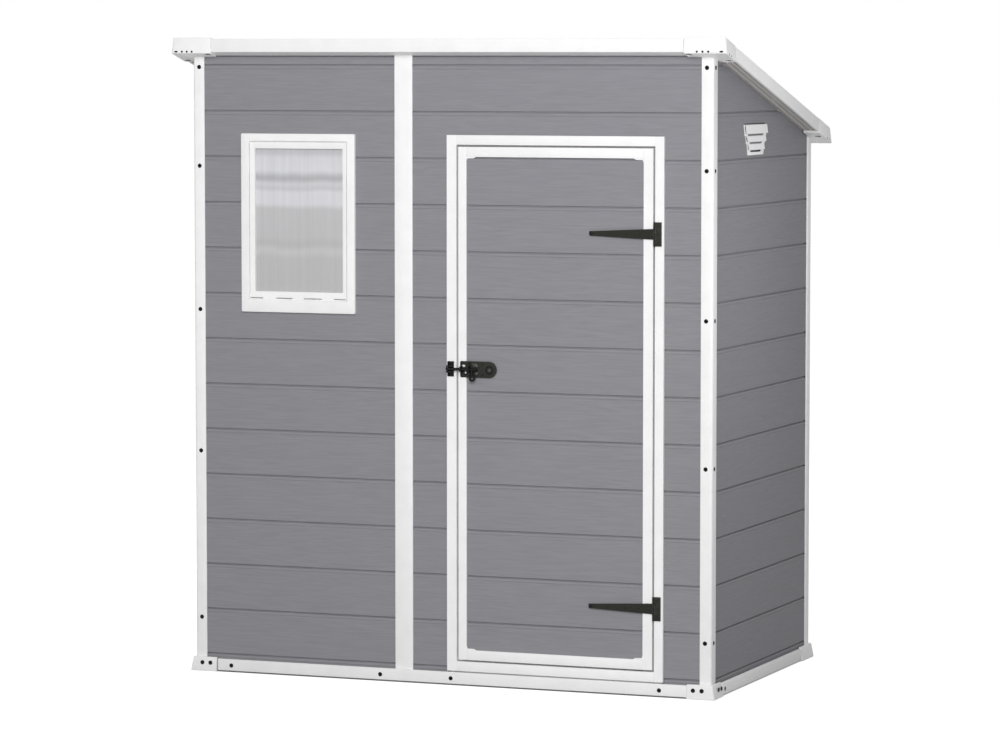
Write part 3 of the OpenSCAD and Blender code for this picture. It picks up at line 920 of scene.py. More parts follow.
class SHED_OT_window(bpy.types.Operator):
    """Window frame with its stepped sash and drain slots, and the fluted pane"""

    bl_idname = "shed.window"
    bl_label = "Window"

    def execute(self, context):
        trims = context.scene.shed_trims
        low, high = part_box("window_frame")
        pane_low, pane_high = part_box("window_pane")
        lap = 0.006  # how far the pane's edge lies behind the sash
        # Insets from the frame's edge: left, right, bottom, top.
        light = (
            pane_low.x + lap - low.x, high.x - pane_high.x + lap,
            pane_low.z + lap - low.z, high.z - pane_high.z + lap,
        )
        sash = (0.0270, 0.026, 0.0385, 0.0235)
        groove = (0.0300, 0.029, 0.0387, 0.0265)
        edge = (0.0,) * 4
        hole = (0.0152,) * 4

        def grow(insets, by):
            return tuple(inset + by for inset in insets)

        wall, back, face = WALL_FRONT[0].y, high.y, low.y
        step = face + trims.sash
        # Insets, depth and corner radius of each ring, round the section and back to the start.
        rings = [
            (edge, wall, 0.004), (edge, face + 0.0016, 0.004),
            (grow(edge, 0.0004), face + 0.0005, 0.0038), (grow(edge, 0.0016), face, 0.003),
            (grow(sash, -0.0006), face, 0.0012), (sash, face + 0.0006, 0.0010),
            (sash, step + 0.0045, 0.0010), (groove, step + 0.0045, 0.0010),
            (groove, step, 0.0010), (grow(light, -0.0020), step, 0.0015),
            (grow(light, -0.0006), step + 0.0006, 0.0012), (light, step + 0.0020, 0.0010),
            (light, pane_low.y - 0.0003, 0.0010), (grow(light, -lap), pane_low.y - 0.0003, 0.0010),
            (grow(light, -lap), pane_high.y + 0.0003, 0.0010),
            (light, pane_high.y + 0.0003, 0.0010), (light, back - 0.001, 0.0010),
            (grow(light, -0.001), back, 0.0010), (hole, back, 0.0010), (hole, wall, 0.0010),
        ]
        bm = bmesh.new()
        loft(bm, [inset_ring(low, high, *ring) for ring in rings], closed=True)
        obj = make_object("window_surround", bm, finishes(WHITE))
        # Drain slots along the lower side.
        sill, brow, radius = low.z + 0.0422, low.z + 0.0458, 0.0012
        bm = bmesh.new()
        for start, end in ((0.029, 0.072), (0.116, 0.174), (0.212, 0.274), (0.315, 0.355)):
            outline = rounded_box_outline((low.x + start, sill), (low.x + end, brow), radius)
            prism(bm, outline, "y", (face - 0.002, step + 0.014))
        cut(obj, bm)
        shade(obj, 24)
        finish(obj, "root", "trim_white", "window_frame")
        self.pane(trims, pane_low, pane_high)
        return {"FINISHED"}

    def pane(self, trims, low, high):
        """The pane: a row of rounded flutes in front, flat behind."""
        count, parts = round((high.x - low.x) / trims.flute), 6
        wide = (high.x - low.x) / count
        front = []
        for i in range(count):
            for part in range(parts):
                t = part / parts
                front.append((
                    low.x + wide * (i + t),
                    low.y + trims.flute_depth * (1 - math.sin(math.pi * t)),
                ))
        front.append((high.x, low.y + trims.flute_depth))
        outline = front + [(high.x, high.y), (low.x, high.y)]
        bm = bmesh.new()
        prism(bm, outline, "z", (low.z, high.z))
        obj = make_object("fluted_pane", bm, finishes(GLAZING))
        shade(obj, 50)
        finish(obj, "root", "window_clear", "window_pane")


# ---- Vents ----


class SHED_OT_vents(bpy.types.Operator):
    """Louvred vents high on both sides, three hoods each"""

    bl_idname = "shed.vents"
    bl_label = "Vents"

    def execute(self, context):
        # Each tier: its top and bottom under the vent's top, half its slot's width, how far its
        # hood stands out.
        tiers = (
            (0.0, 0.0345, 0.079, 0.0084), (0.0345, 0.0595, 0.0625, 0.0078),
            (0.0595, 0.0845, 0.0545, 0.0070),
        )
        inset, plate, skin, slot_tall = 0.014, 0.0042, 0.0016, 0.0058
        for side, sign in (("left", -1), ("right", 1)):
            low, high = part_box(f"vent_{side}")
            wall = low.x if sign > 0 else high.x
            middle, half = (low.y + high.y) / 2, (high.y - low.y) / 2

            def out(by):
                return wall + sign * by

            edge = []
            for number, (top, bottom, _, _) in enumerate(tiers):
                wide = half - inset * number
                edge += [(wide, high.z - top), (wide - 0.007, high.z - bottom)]
            edge[-1] = (edge[-2][0] - 0.008, low.z)
            outline = [(middle + y, z) for y, z in edge]
            outline += [(middle - y, z) for y, z in reversed(edge)]
            bm = bmesh.new()
            prism(bm, outline, "x", (wall, out(plate)))
            obj = make_object(f"louvre_{side}", bm, finishes(WHITE))
            bm = bmesh.new()
            for _, bottom, slot, _ in tiers:
                ends = sorted((out(-PAST), out(2 * PAST)))
                sill = high.z - bottom
                box(
                    bm, (ends[0], middle - slot, sill),
                    (ends[1], middle + slot, sill + slot_tall),
                )
            cut(obj, bm)
            soften(obj, 0.0007)
            finish(obj, "root", "trim_white", f"vent_{side}")
            bm = bmesh.new()
            for number, (top, bottom, _, stand) in enumerate(tiers):
                brow, lip = high.z - top - 0.001, high.z - bottom + slot_tall + 0.001
                blade = [
                    (out(plate - skin), brow), (out(plate + 0.001), brow),
                    (out(stand), lip + 0.0024), (out(stand), lip), (out(stand - skin), lip),
                    (out(stand - skin), lip + 0.0020), (out(plate - skin), brow - 0.003),
                ]
                cheek = blade[:4] + [(out(plate - skin), lip)]
                reach = half - inset * number - 0.0022
                prism(bm, blade, "y", (middle - reach, middle + reach))
                for end in (-1, 1):
                    prism(bm, cheek, "y", (middle + end * reach, middle + end * (reach - skin)))
            hood = make_object(f"louvre_hoods_{side}", bm, finishes(WHITE))
            shade(hood, 25)
            finish(hood, "root", "trim_white")
        return {"FINISHED"}


# ---- Door ----


def corner_seam(obj, node):
    """Fine seam across an upright of the door, where its top corner's moulding begins."""
    low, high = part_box(node)
    seam, tall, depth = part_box("door_head")[1].z - 0.0880, 0.0013, 0.0006
    bm = bmesh.new()
    box(bm, (low.x - PAST, low.y - PAST, seam), (high.x + PAST, low.y + depth, seam + tall))
    cut(obj, bm)
    shade(obj, 20)


class SHED_OT_door_frame(bpy.types.Operator):
    """Door frame: two jambs, the head and the sill"""

    bl_idname = "shed.door_frame"
    bl_label = "Door Frame"

    def execute(self, context):
        trims = context.scene.shed_trims
        for node in ("door_jamb_latch", "door_jamb_hinge", "door_head", "door_sill"):
            obj = make_object(f"frame_{node[5:]}", cad_solid(node), finishes(WHITE))
            soften(obj, trims.edge)
            if "jamb" in node:
                corner_seam(obj, node)
            finish(obj, "root", "trim_white", node)
        return {"FINISHED"}


class SHED_OT_door_leaf(bpy.types.Operator):
    """Door leaf: boarded panel in a white edging with stepped corner blocks"""

    bl_idname = "shed.door_leaf"
    bl_label = "Door Leaf"

    def execute(self, context):
        sizes, trims = context.scene.shed_boards, context.scene.shed_trims
        low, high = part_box("door_panel")
        bm = bmesh.new()
        outline = panel_outline(sizes, low.y, high.y, low.z, high.z, high.z)
        prism(bm, outline, "x", (low.x, high.x))
        obj = make_object("boards_door", bm, finishes(BOARDS))
        finish(obj, "door", "wall_grey", "door_panel")
        for node in ("door_stile_latch", "door_stile_hinge", "door_rail_top", "door_rail_bottom"):
            obj = make_object(f"edging_{node[5:]}", cad_solid(node), finishes(WHITE))
            soften(obj, trims.edge)
            if "stile" in node:
                corner_seam(obj, node)
            finish(obj, "door", "trim_white", node)
        # Blocks that fill the panel's corners, wide and flat with a slanted end.
        bm = bmesh.new()
        for x, to_middle in ((low.x, 1), (high.x, -1)):
            for z, up in ((low.z, 1), (high.z, -1)):
                block = [
                    (x, z), (x + to_middle * 0.032, z), (x + to_middle * 0.024, z + up * 0.0042),
                    (x + to_middle * 0.003, z + up * 0.0048), (x, z + up * 0.013),
                ]
                prism(bm, block, "y", (LEAF_FACE + 0.0004, low.y + 0.001))
        obj = make_object("edging_corner_blocks", bm, finishes(WHITE))
        soften(obj, 0.0006)
        finish(obj, "door", "trim_white")
        return {"FINISHED"}


# ---- Ironwork ----


class SHED_OT_hinges(bpy.types.Operator):
    """Two T-hinges with their tapered straps, knuckles and screws"""

    bl_idname = "shed.hinges"
    bl_label = "Hinges"

    def execute(self, context):
        trims = context.scene.shed_trims
        strap_low, strap_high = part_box("hinge_straps")
        plate_low, plate_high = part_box("hinge_plates")
        tall, barrel = 0.073, 0.00375  # height of a plate, radius of a knuckle
        obj = make_object("hinge_tapers", cad_solid("hinge_straps"), finishes(IRON))
        soften(obj, trims.iron_edge)
        finish(obj, "door", "black_iron", "hinge_straps")
        bm = cad_solid("hinge_plates")
        axis_x, axis_y, slimmer = plate_low.x + barrel, plate_low.y + barrel, 0.38
        for vertex in bm.verts:
            # The plate's edge follows its knuckles in towards the pin.
            if abs(vertex.co.x - axis_x - 0.00475) < 0.0001:
                vertex.co.x -= 0.0008
            # The fixed knuckles are slimmer than the turning one between them.
            off = Vector((vertex.co.x - axis_x, vertex.co.y - axis_y))
            if 0.0030 < off.length < 0.0040 and vertex.co.x < axis_x + 0.0038:
                vertex.co.x -= off.x * slimmer
                vertex.co.y -= off.y * slimmer
        obj = make_object("hinge_jamb_plates", bm, finishes(IRON))
        soften(obj, trims.iron_edge)
        finish(obj, "root", "black_iron", "hinge_plates")
        on_leaf, on_jamb = [], []
        knobs, pips = bmesh.new(), bmesh.new()
        for z in (plate_low.z + tall / 2, plate_high.z - tall / 2):
            for reach in (0.050, 0.095, 0.150):
                on_leaf.append(((strap_high.x - reach, IRON_FACE, z), (0, -1, 0)))
            for up in (-0.026, 0.0, 0.026):
                on_jamb.append(((plate_high.x - 0.0092, IRON_FACE, z + up), (0, -1, 0)))
            # The strap ends in a round knob, and its root is pressed into two rows of pips.
            centre, knob = strap_low.x + 0.0062, 0.0066
            loft(knobs, [
                [(centre + p, LEAF_FACE - rise, z + q) for p, q in circle(knob * share, 24)]
                for share, rise in ((1.0, -0.0005), (1.0, 0.0028), (0.86, 0.0038), (0.5, 0.0044))
            ])
            for i in range(4):
                x = strap_high.x - 0.013 - 0.0095 * i
                for up in (-0.0082, 0.0082):
                    loft(pips, [
                        [(x + p, IRON_FACE - rise, z + up + q) for p, q in circle(r, 12)]
                        for r, rise in ((0.0030, -0.0005), (0.0026, 0.0007), (0.0014, 0.0012))
                    ])
        for name, bm, made_of in (
            ("hinge_taper_tips", knobs, SCREWS), ("hinge_taper_pips", pips, IRON)
        ):
            obj = make_object(name, bm, finishes(made_of))
            shade(obj, 50)
            finish(obj, "door", "black_iron")
        screw_set("screws_straps", on_leaf, trims.iron_screw, "door", IRON)
        screw_set("screws_hinge_plates", on_jamb, trims.iron_screw, "root", IRON)
        return {"FINISHED"}


class SHED_OT_bolt(bpy.types.Operator):
    """Pad bolt: pierced plate with guides, round bolt with its ring, and the keeper"""

    bl_idname = "shed.bolt"
    bl_label = "Pad Bolt"

    LOCK = (0.0176, -0.0102)  # the lock hole, from the plate's left edge and its middle

    def execute(self, context):
        trims = context.scene.shed_trims
        self.plate(trims)
        self.bolt()
        self.keeper(trims)
        return {"FINISHED"}

    def plate(self, trims):
        """The pierced plate on the leaf and its screws."""
        low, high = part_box("latch_plate")
        middle = (low.z + high.z) / 2
        radius, corner = (high.z - low.z) / 2, 0.004
        outline = circle(radius, 25, (high.x - radius, middle), -math.pi / 2, math.pi)
        outline += circle(
            corner, 5, (low.x + corner, high.z - corner), math.pi / 2, math.pi / 2
        )
        outline += circle(corner, 5, (low.x + corner, low.z + corner), math.pi, math.pi / 2)
        bm = bmesh.new()
        prism(bm, outline, "y", (IRON_FACE, LEAF_FACE))
        obj = make_object("bolt_plate", bm, finishes(IRON))
        # An oval hole, and the hole for a lock.
        bm = bmesh.new()
        for x, z, wide, tall in (
            (0.0108, 0.0108, 0.0062, 0.0036), (*self.LOCK, 0.0036, 0.0036)
        ):
            oval = [
                (low.x + x + wide * p, middle + z + tall * q) for p, q in circle(1.0, 24)
            ]
            prism(bm, oval, "y", (LEAF_FACE - PAST, LEAF_FACE + PAST))
        cut(obj, bm)
        soften(obj, trims.iron_edge)
        finish(obj, "door", "black_iron", "latch_plate")
        self.guides(low, middle)
        self.bosses(low, middle)
        places = [
            ((low.x + x, IRON_FACE, middle + z), (0, -1, 0))
            for x, z in ((0.0290, 0.0185), (0.0290, -0.0185), (0.0740, 0.0170), (0.0740, -0.0170))
        ]
        screw_set("screws_bolt_plate", places, trims.iron_screw, "door", IRON)

    def guides(self, low, middle):
        """Two straps that bridge the bolt, the lock hole's collar and the ring round a boss."""
        bolt_low, bolt_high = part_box("latch_bolt")
        bolt_y = (bolt_low.y + bolt_high.y) / 2
        clear, outer, half = 0.0058, 0.0088, 0.0105
        sunk, brim = LEAF_FACE - 0.001, LEAF_FACE - 0.005
        arch = [(sunk, middle + half), (brim, middle + half), (brim, middle + outer)]
        arch += circle(outer, 13, (bolt_y, middle), math.pi / 2, math.pi)
        arch += [(brim, middle - outer), (brim, middle - half), (sunk, middle - half)]
        arch += [(sunk, middle - clear)]
        arch += circle(clear, 13, (bolt_y, middle), -math.pi / 2, -math.pi)
        arch += [(sunk, middle + clear)]
        bm = bmesh.new()
        for start, strip, tall in ((0.0020, 0.0032, 0.0240), (0.0285, 0.0060, 0.0205)):
            prism(bm, arch, "x", (low.x + start, low.x + start + 0.006))
            for side in (-1, 1):
                ends = sorted((middle + side * 0.0095, middle + side * tall))
                box(
                    bm, (low.x + start, LEAF_FACE - 0.0046, ends[0]),
                    (low.x + start + strip, LEAF_FACE - 0.0020, ends[1]),
                )
        collar = (
            (0.0078, -0.0024), (0.0078, -0.0046), (0.0062, -0.0056), (0.0044, -0.0052),
            (0.0038, -0.0040), (0.0038, -0.0024),
        )
        lock_x, lock_z = low.x + self.LOCK[0], middle + self.LOCK[1]
        loft(bm, [
            [(lock_x + p, LEAF_FACE + y, lock_z + q) for p, q in circle(r, 24)]
            for r, y in collar
        ], closed=True)
        # A raised ring round the small boss, near the plate's round end.
        centre = Vector((low.x + 0.0968, LEAF_FACE - 0.0032, middle - 0.0010))
        self.hoop(bm, centre, 0.0112, 36, circle(0.0014, 8), 1.5)
        obj = make_object("bolt_guides", bm, finishes(SCREWS))
        shade(obj)
        finish(obj, "door", "black_iron")

    def hoop(self, bm, centre, radius, steps, section, wider=1.0):
        """A ring that faces front; its section is stretched along its radius by wider."""
        rings = []
        for spoke_x, spoke_z in circle(1.0, steps):
            spoke = Vector((spoke_x, 0, spoke_z))
            middle = centre + spoke * radius
            rings.append([middle + spoke * p * wider + Vector((0, q, 0)) for p, q in section])
        loft(bm, rings, closed=True)

    def bosses(self, low, middle):
        """Pressed bosses of the plate, rubbed bright: one slanted, one round and one small."""
        bm = bmesh.new()
        slanted = ((-0.0120, 0.0066), (0.0062, 0.0066), (0.0128, -0.0062), (-0.0060, -0.0066))
        tall = 0.013
        for x, z, outline, lean in (
            (0.0500, 0.0128, slanted, 0.0020),
            (0.0540, -0.0118, circle(0.0062, 20), 0.0016),
            (0.0968, -0.0020, circle(0.0055, 20), 0.0014),
        ):
            # Only the front face leans: it stands out further towards its lower edge.
            loft(bm, [
                [
                    (
                        low.x + x + share * p,
                        IRON_FACE - rise - slope * (0.5 - q / tall),
                        middle + z + share * q,
                    )
                    for p, q in outline
                ]
                for share, rise, slope in (
                    (1.0, -0.0006, 0), (0.97, 0.0008, 0), (0.82, 0.0022, lean)
                )
            ])
        obj = make_object("bolt_plate_bosses", bm, finishes(RUBBED))
        soften(obj, 0.0008)
        finish(obj, "door", "black_iron")

    def bolt(self):
        """The round bolt and its ring, which hangs from it on a short stem."""
        low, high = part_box("latch_bolt")
        plate_low, plate_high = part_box("latch_plate")
        middle = (plate_low.z + plate_high.z) / 2
        radius, wire, loop = 0.005, 0.0033, 0.0072
        y = (low.y + high.y) / 2
        ring_x = plate_low.x + 0.042
        # Places along the bolt with its radius there: rounded head, full part, thinner rod.
        ends = (
            (low.x + 0.0030, 0.0034), (low.x + 0.0042, radius), (low.x + 0.0075, radius),
            (low.x + 0.0090, radius * 0.86), (high.x - 0.0010, radius * 0.86),
            (high.x, radius * 0.62),
        )
        bm = bmesh.new()
        loft(bm, [[(x, y + p, middle + q) for p, q in circle(r, 24)] for x, r in ends])
        ring_z = low.z + loop + wire + 0.0036
        loft(bm, [
            [(ring_x + p, y + q, z) for p, q in circle(r, 16)]
            for z, r in ((ring_z + loop - 0.001, wire), (middle - 0.002, wire))
        ])
        self.hoop(bm, Vector((ring_x, y, ring_z)), loop, 40, circle(wire, 14))
        obj = make_object("round_bolt", bm, finishes(SCREWS))
        shade(obj, 40)
        finish(obj, "bolt", "black_iron", "latch_bolt")

    def keeper(self, trims):
        """The keeper on the jamb, its ribs and its screws."""
        low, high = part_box("latch_keeper")
        bm = cad_solid("latch_keeper")
        obj = make_object("bolt_keeper", bm, finishes(SCREWS))
        soften(obj, trims.iron_edge)
        finish(obj, "root", "black_iron", "latch_keeper")
        bm = bmesh.new()
        spans = ((low.z + 0.0005, low.z + 0.0120), (high.z - 0.0120, high.z - 0.0005))
        front, back, wide = LEAF_FACE - 0.0056, LEAF_FACE - 0.0025, 0.0040
        for x in (low.x + 0.0002, high.x - 0.0002 - wide):
            for start, end in spans:
                box(bm, (x, front, start), (x + wide, back, end))
        obj = make_object("bolt_keeper_ribs", bm, finishes(SCREWS))
        soften(obj, trims.iron_edge)
        finish(obj, "root", "black_iron")
        middle = (low.x + high.x) / 2
        places = [
            ((middle, IRON_FACE, z), (0, -1, 0)) for z in (low.z + 0.0065, high.z - 0.0065)
        ]
        screw_set("screws_keeper", places, trims.iron_screw, "root")


# ---- Roof ----


class SHED_OT_roof(bpy.types.Operator):
    """Two roof panels: raised ribs and pans over fine flutes, running down the slope"""

    bl_idname = "shed.roof"
    bl_label = "Roof Panels"

    def execute(self, context):
        sizes = context.scene.shed_roof
        for side in ("left", "right"):
            node = f"roof_panel_{side}"
            low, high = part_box(node)
            thick = high.z - roof_z(low.y)
            flutes = round((high.x - low.x) / sizes.soffit_pitch)
            wide = (high.x - low.x) / flutes
            foot, slant = 0.0030, 0.0045
            under = [(low.x, 0.0)]
            for i in range(flutes):
                x = low.x + wide * i
                under += [
                    (x + foot, 0.0), (x + slant, sizes.soffit_depth),
                    (x + wide - slant, sizes.soffit_depth), (x + wide - foot, 0.0),
                ]
            under.append((high.x, 0.0))
            border, margin = 0.05, 0.045
            pans = int((high.x - low.x - 2 * border) / (sizes.rib + sizes.pocket))
            run = (high.x - low.x - 2 * margin) / pans
            edges = []
            for i in range(pans):
                start = low.x + margin + run * i + sizes.rib / 2
                edges.append((start, start + run - sizes.rib))
            over = [(high.x, thick)]
            for start, end in reversed(edges):
                over += [(end, thick), (start, thick)]
            over.append((low.x, thick))
            bm = bmesh.new()
            prism(bm, under + over, "y", (low.y, low.y + border, high.y - border, high.y))
            bmesh.ops.recalc_face_normals(bm, faces=bm.faces)
            pan_faces = []
            for face in bm.faces:
                centre = face.calc_center_median()
                inside = any(a < centre.x < b for a, b in edges)
                if face.normal.z > 0.9 and inside and abs(centre.y) < 0.1:
                    pan_faces.append(face)
            bmesh.ops.inset_individual(
                bm, faces=pan_faces, thickness=0.005, depth=-sizes.pan_depth
            )
            # Built level, then laid on the slope.
            for vertex in bm.verts:
                vertex.co.z += roof_z(vertex.co.y)
            obj = make_object(f"ribbed_roof_{side}", bm, finishes(ROOFING))
            finish(obj, "root", "roof_grey", node)
        return {"FINISHED"}


class SHED_OT_roof_trims(bpy.types.Operator):
    """Trims round the roof's edge and the caps on its corners"""

    bl_idname = "shed.roof_trims"
    bl_label = "Roof Trims"

    def execute(self, context):
        for side in ("front", "back", "left", "right"):
            node = f"roof_trim_{side}"
            bm = cad_solid(node)
            axis = 0 if side in ("front", "back") else 1
            ends = [v.co[axis] for v in bm.verts]
            middle, gap = (min(ends) + max(ends)) / 2, 0.0007
            for vertex in bm.verts:
                vertex.co[axis] += math.copysign(gap, middle - vertex.co[axis])
            obj = make_object(f"fascia_{side}", bm, finishes(WHITE))
            soften(obj, 0.002, 3)
            finish(obj, "root", "trim_white", node)
        self.flanges()
        self.caps()
        return {"FINISHED"}

    def caps(self):
        """Corner caps: faces that lean in towards the top, and a round outer corner."""
        low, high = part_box("roof_corner_caps")
        near, upper, lean = 0.001, 0.036, 0.0045
        bm = cad_solid("roof_corner_caps")
        corners = [
            edge for edge in bm.edges
            if all(abs(v.co[a]) > high[a] - near for v in edge.verts for a in (0, 1))
        ]
        for vertex in bm.verts:
            if vertex.co.z - roof_z(vertex.co.y) > upper:
                for axis in (0, 1):
                    if abs(vertex.co[axis]) > high[axis] - near:
                        vertex.co[axis] -= math.copysign(lean, vertex.co[axis])
        bmesh.ops.bevel(bm, geom=corners, offset=0.006, segments=4, profile=0.5, affect="EDGES")
        obj = make_object("corner_caps", bm, finishes(WHITE))
        soften(obj, 0.0018, 3)
        self.pierce(obj, low, high)
        shade(obj, 24)
        finish(obj, "root", "trim_white", "roof_corner_caps")

    def flanges(self):
        """White lower flanges of the front and back trims, which close the roof's underside."""
        low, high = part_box("roof_trim_front")
        inside, gap, under, thick, longer = 0.006, 0.0006, 0.0003, 0.0016, 0.03
        bm = bmesh.new()
        for edge, wall in (
            (low.y + inside, WALL_FRONT[0].y), (-low.y - inside, WALL_BACK[1].y)
        ):
            clear = wall + math.copysign(gap, edge)
            outline = [(edge, roof_z(edge) - under), (clear, roof_z(clear) - under)]
            outline += [(y, z - thick) for y, z in reversed(outline)]
            prism(bm, outline, "x", (low.x - longer, high.x + longer))
        obj = make_object("fascia_flanges", bm, finishes(WHITE))
        finish(obj, "root", "trim_white")

    def pierce(self, obj, low, high):
        """Small holes along the lower edges and an oval hole below each leg's end, each holding a
        matt black disc of painted shade.
        """
        rows = ((0.037, 0.054, 0.071), (0.058, 0.076, 0.094))
        # Each hole: axis, face, way in, centre on the face, half width and half height.
        holes = []
        for sign in (-1, 1):
            for end, y in ((-1, low.y), (1, high.y)):
                row = [(reach, 0.0036, 0.0034) for reach in rows[sign * end < 0]]
                for reach, wide, tall in row + [(0.0165, 0.0062, 0.0028)]:
                    centre = (sign * (high.x - reach), roof_z(y) - 0.0028)
                    holes.append(("y", y, -end, centre, wide, tall))
                # The long legs lie along the front and back, the short ones along the sides.
                for reach, into in ((0.1220, 0.016), (0.020, 0.086)):
                    place = y - end * into
                    centre = (sign * (high.x - reach), place)
                    wide, tall = (0.0095, 0.0105) if reach > 0.1 else (0.0105, 0.0095)
                    holes.append(("z", roof_z(place) - 0.008, 1, centre, wide, tall))
            for y in (low.y + 0.030, low.y + 0.048, high.y - 0.048, high.y - 0.030):
                centre = (y, roof_z(y) - 0.0034)
                holes.append(("x", sign * high.x, -sign, centre, 0.0030, 0.0030))
        # Matt black discs, set into the holes behind their faces, paint the shade inside them.
        cutters, painted_hole_shade = bmesh.new(), bmesh.new()
        for axis, surface, inward, centre, wide, tall in holes:
            for bm, share, start, end in (
                (cutters, 1.0, -0.0040, 0.0045), (painted_hole_shade, 0.97, 0.0006, 0.0044)
            ):
                outline = [
                    (centre[0] + wide * share * p, centre[1] + tall * share * q)
                    for p, q in circle(1.0, 16)
                ]
                stations = sorted((surface + inward * start, surface + inward * end))
                prism(bm, outline, axis, stations)
        cut(obj, cutters)
        obj = make_object("cap_painted_hole_shade", painted_hole_shade, finishes(HOLE_SHADE_DISCS))
        finish(obj, "root", "black_iron")


# ---- Stage ----


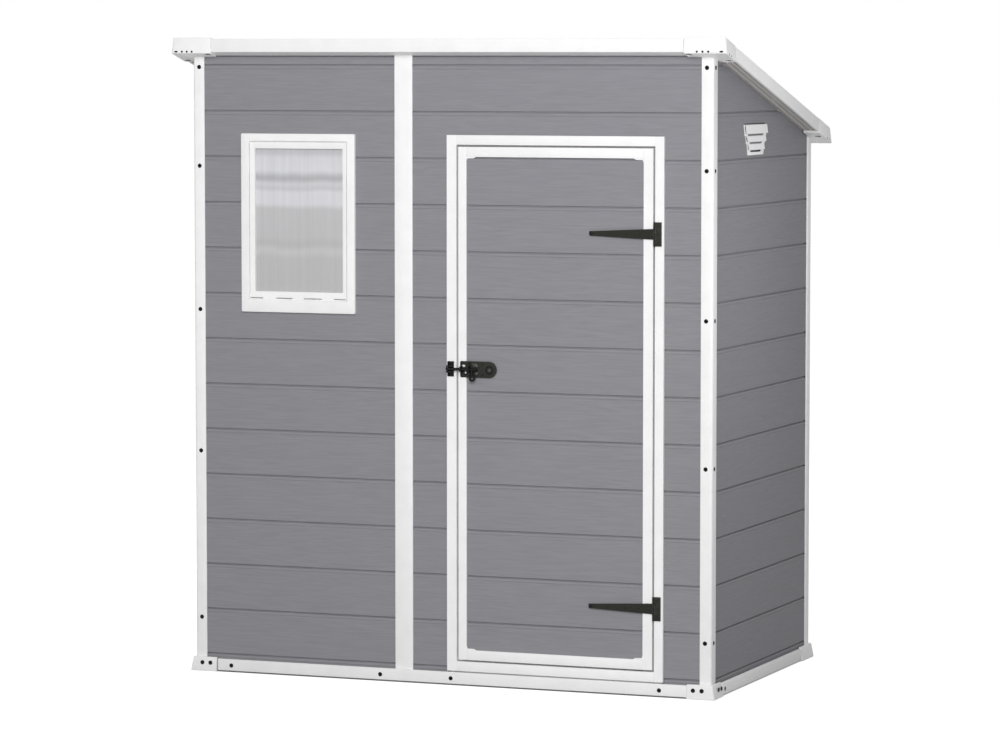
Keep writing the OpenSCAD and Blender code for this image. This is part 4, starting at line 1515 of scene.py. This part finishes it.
class SHED_OT_stage(bpy.types.Operator):
    """Pale floor, soft studio light and the camera"""

    bl_idname = "shed.stage"
    bl_label = "Stage"

    def execute(self, context):
        settings = context.scene.shed_stage
        self.camera(context, settings)
        self.world(context, settings)
        self.floor(context)
        self.lights(context, settings)
        context.scene.view_settings.view_transform = "Standard"
        return {"FINISHED"}

    def camera(self, context, settings):
        data = bpy.data.cameras.new("camera")
        data.lens = settings.lens
        data.sensor_width = 36
        data.clip_end = 100
        # 13.5 m from the shed's middle, ahead and to the right, about as high as the roof.
        camera = bpy.data.objects.new("camera", data)
        camera.location = (4.9097, -12.5415, 1.9570)
        camera.rotation_euler = (math.pi / 2 - settings.pitch, 0, settings.azimuth)
        context.scene.collection.objects.link(camera)
        context.scene.camera = camera

    def seeing(self, tree):
        """1 for rays that see the stage straight, in a gloss or through the pane, 0 for light."""
        rays = add_node(tree, "ShaderNodeLightPath").outputs
        seen = add_node(
            tree, "ShaderNodeMath", {0: rays["Is Camera Ray"], 1: rays["Is Glossy Ray"]},
            operation="MAXIMUM",
        ).outputs[0]
        return add_node(
            tree, "ShaderNodeMath", {0: seen, 1: rays["Is Transmission Ray"]},
            operation="MAXIMUM",
        ).outputs[0]

    def world(self, context, settings):
        world = bpy.data.worlds.new("studio")
        world.use_nodes = True
        tree = world.node_tree
        tree.nodes.clear()
        level = add_node(
            tree, "ShaderNodeMapRange",
            {"Value": self.seeing(tree), "To Min": settings.soft_light, "To Max": 1.0},
        ).outputs["Result"]
        background = add_node(
            tree, "ShaderNodeBackground", {"Color": (1, 1, 1, 1), "Strength": level}
        )
        add_node(tree, "ShaderNodeOutputWorld", {"Surface": background.outputs[0]})
        context.scene.world = world

    def floor(self, context):
        bm = bmesh.new()
        bmesh.ops.create_circle(bm, cap_ends=True, radius=30, segments=64)
        material, tree = new_material("Pale studio floor")
        place = add_node(tree, "ShaderNodeTexCoord").outputs["Object"]
        split = add_node(tree, "ShaderNodeSeparateXYZ", {"Vector": place})
        outside = []
        for axis, edge in (("X", POST_FRONT[1].x), ("Y", -POST_FRONT[0].y)):
            reach = add_node(
                tree, "ShaderNodeMath", {0: split.outputs[axis]}, operation="ABSOLUTE"
            ).outputs[0]
            outside.append(add_node(
                tree, "ShaderNodeMath", {0: reach, 1: edge}, operation="SUBTRACT"
            ).outputs[0])
        distance = add_node(
            tree, "ShaderNodeMath", {0: outside[0], 1: outside[1]}, operation="MAXIMUM"
        ).outputs[0]
        # The floor glows white to the eye from the base's face outwards, and hardly under it.
        lift = add_node(
            tree, "ShaderNodeMapRange",
            {
                "Value": distance, "From Min": -0.002, "From Max": 0.012,
                "To Min": 0.12, "To Max": 0.90,
            },
            interpolation_type="SMOOTHSTEP",
        ).outputs["Result"]
        seen = self.seeing(tree)
        lift = add_node(
            tree, "ShaderNodeMath", {0: lift, 1: seen}, operation="MULTIPLY"
        ).outputs[0]
        # Paint as the light on the shed meets it, and as it is seen under the glow.
        lit, looked_at = (0.54, 0.54, 0.54, 1), (0.36, 0.36, 0.36, 1)
        paint = add_node(
            tree, "ShaderNodeMix", {0: seen, 6: lit, 7: looked_at}, data_type="RGBA"
        ).outputs[2]
        diffuse = add_node(tree, "ShaderNodeBsdfDiffuse", {"Color": paint}).outputs[0]
        glow = add_node(
            tree, "ShaderNodeEmission", {"Color": (1, 1, 1, 1), "Strength": lift}
        ).outputs[0]
        both = add_node(tree, "ShaderNodeAddShader", {0: diffuse, 1: glow}).outputs[0]
        add_node(tree, "ShaderNodeOutputMaterial", {"Surface": both})
        floor = make_object("studio_floor", bm, material)
        floor.location.z = -0.0005

    def lights(self, context, settings):
        # Where each stands, what it points at, its width and its share of the key's power.
        for name, place, target, size, share in (
            ("key", (1.1, -5.8, 3.6), (0.1, -0.4, 1.1), 3.2, 1.0),
            ("right", (2.6, -5.4, 3.2), (0.5, -0.4, 1.3), 2.6, 0.30),
            ("low", (0.6, -7.5, 1.3), (0.0, -0.4, 0.9), 3.2, 0.40),
            ("near", (2.0, -0.46, 1.5), (0.9, -0.42, 1.3), 0.7, 0.035),
            ("back", (-2.8, 5.6, 3.4), (-0.2, 0.3, 1.0), 3.2, 0.90),
        ):
            data = bpy.data.lights.new(name, "AREA")
            data.shape = "DISK"
            data.size = size
            data.energy = settings.key_watts * share
            light = bpy.data.objects.new(name, data)
            light.location = place
            light.rotation_euler = (
                (Vector(place) - Vector(target)).to_track_quat("Z", "Y").to_euler()
            )
            light.visible_camera = False
            context.scene.collection.objects.link(light)


# ---- Panel, registration and run ----

STEPS = (
    SHED_OT_wall_boards, SHED_OT_floor, SHED_OT_base, SHED_OT_posts, SHED_OT_window,
    SHED_OT_vents, SHED_OT_door_frame, SHED_OT_door_leaf, SHED_OT_hinges, SHED_OT_bolt,
    SHED_OT_roof, SHED_OT_roof_trims, SHED_OT_stage,
)
SETTINGS = {
    "shed_boards": ShedBoardSizes,
    "shed_trims": ShedTrimSizes,
    "shed_roof": ShedRoofSizes,
    "shed_colours": ShedColours,
    "shed_stage": ShedStageSettings,
}


class SHED_PT_panel(bpy.types.Panel):
    """Lists the shed's sizes, colours and building steps"""

    bl_idname = "SHED_PT_panel"
    bl_label = "Plastic Shed"
    bl_space_type = "VIEW_3D"
    bl_region_type = "UI"
    bl_category = "Shed"

    def draw(self, context):
        for group, kind in SETTINGS.items():
            column = self.layout.column(align=True)
            for name in kind.__annotations__:
                column.prop(getattr(context.scene, group), name)
        column = self.layout.column(align=True)
        for step in STEPS:
            column.operator(step.bl_idname)


def register():
    for kind in (*SETTINGS.values(), *STEPS, SHED_PT_panel):
        bpy.utils.register_class(kind)
    for group, kind in SETTINGS.items():
        setattr(bpy.types.Scene, group, PointerProperty(type=kind))


def unregister():
    for group in SETTINGS:
        delattr(bpy.types.Scene, group)
    for kind in reversed((*SETTINGS.values(), *STEPS, SHED_PT_panel)):
        bpy.utils.unregister_class(kind)


def main():
    register()
    for step in STEPS:
        getattr(bpy.ops.shed, step.bl_idname.split(".")[1])()


if __name__ == "__main__":
    main()
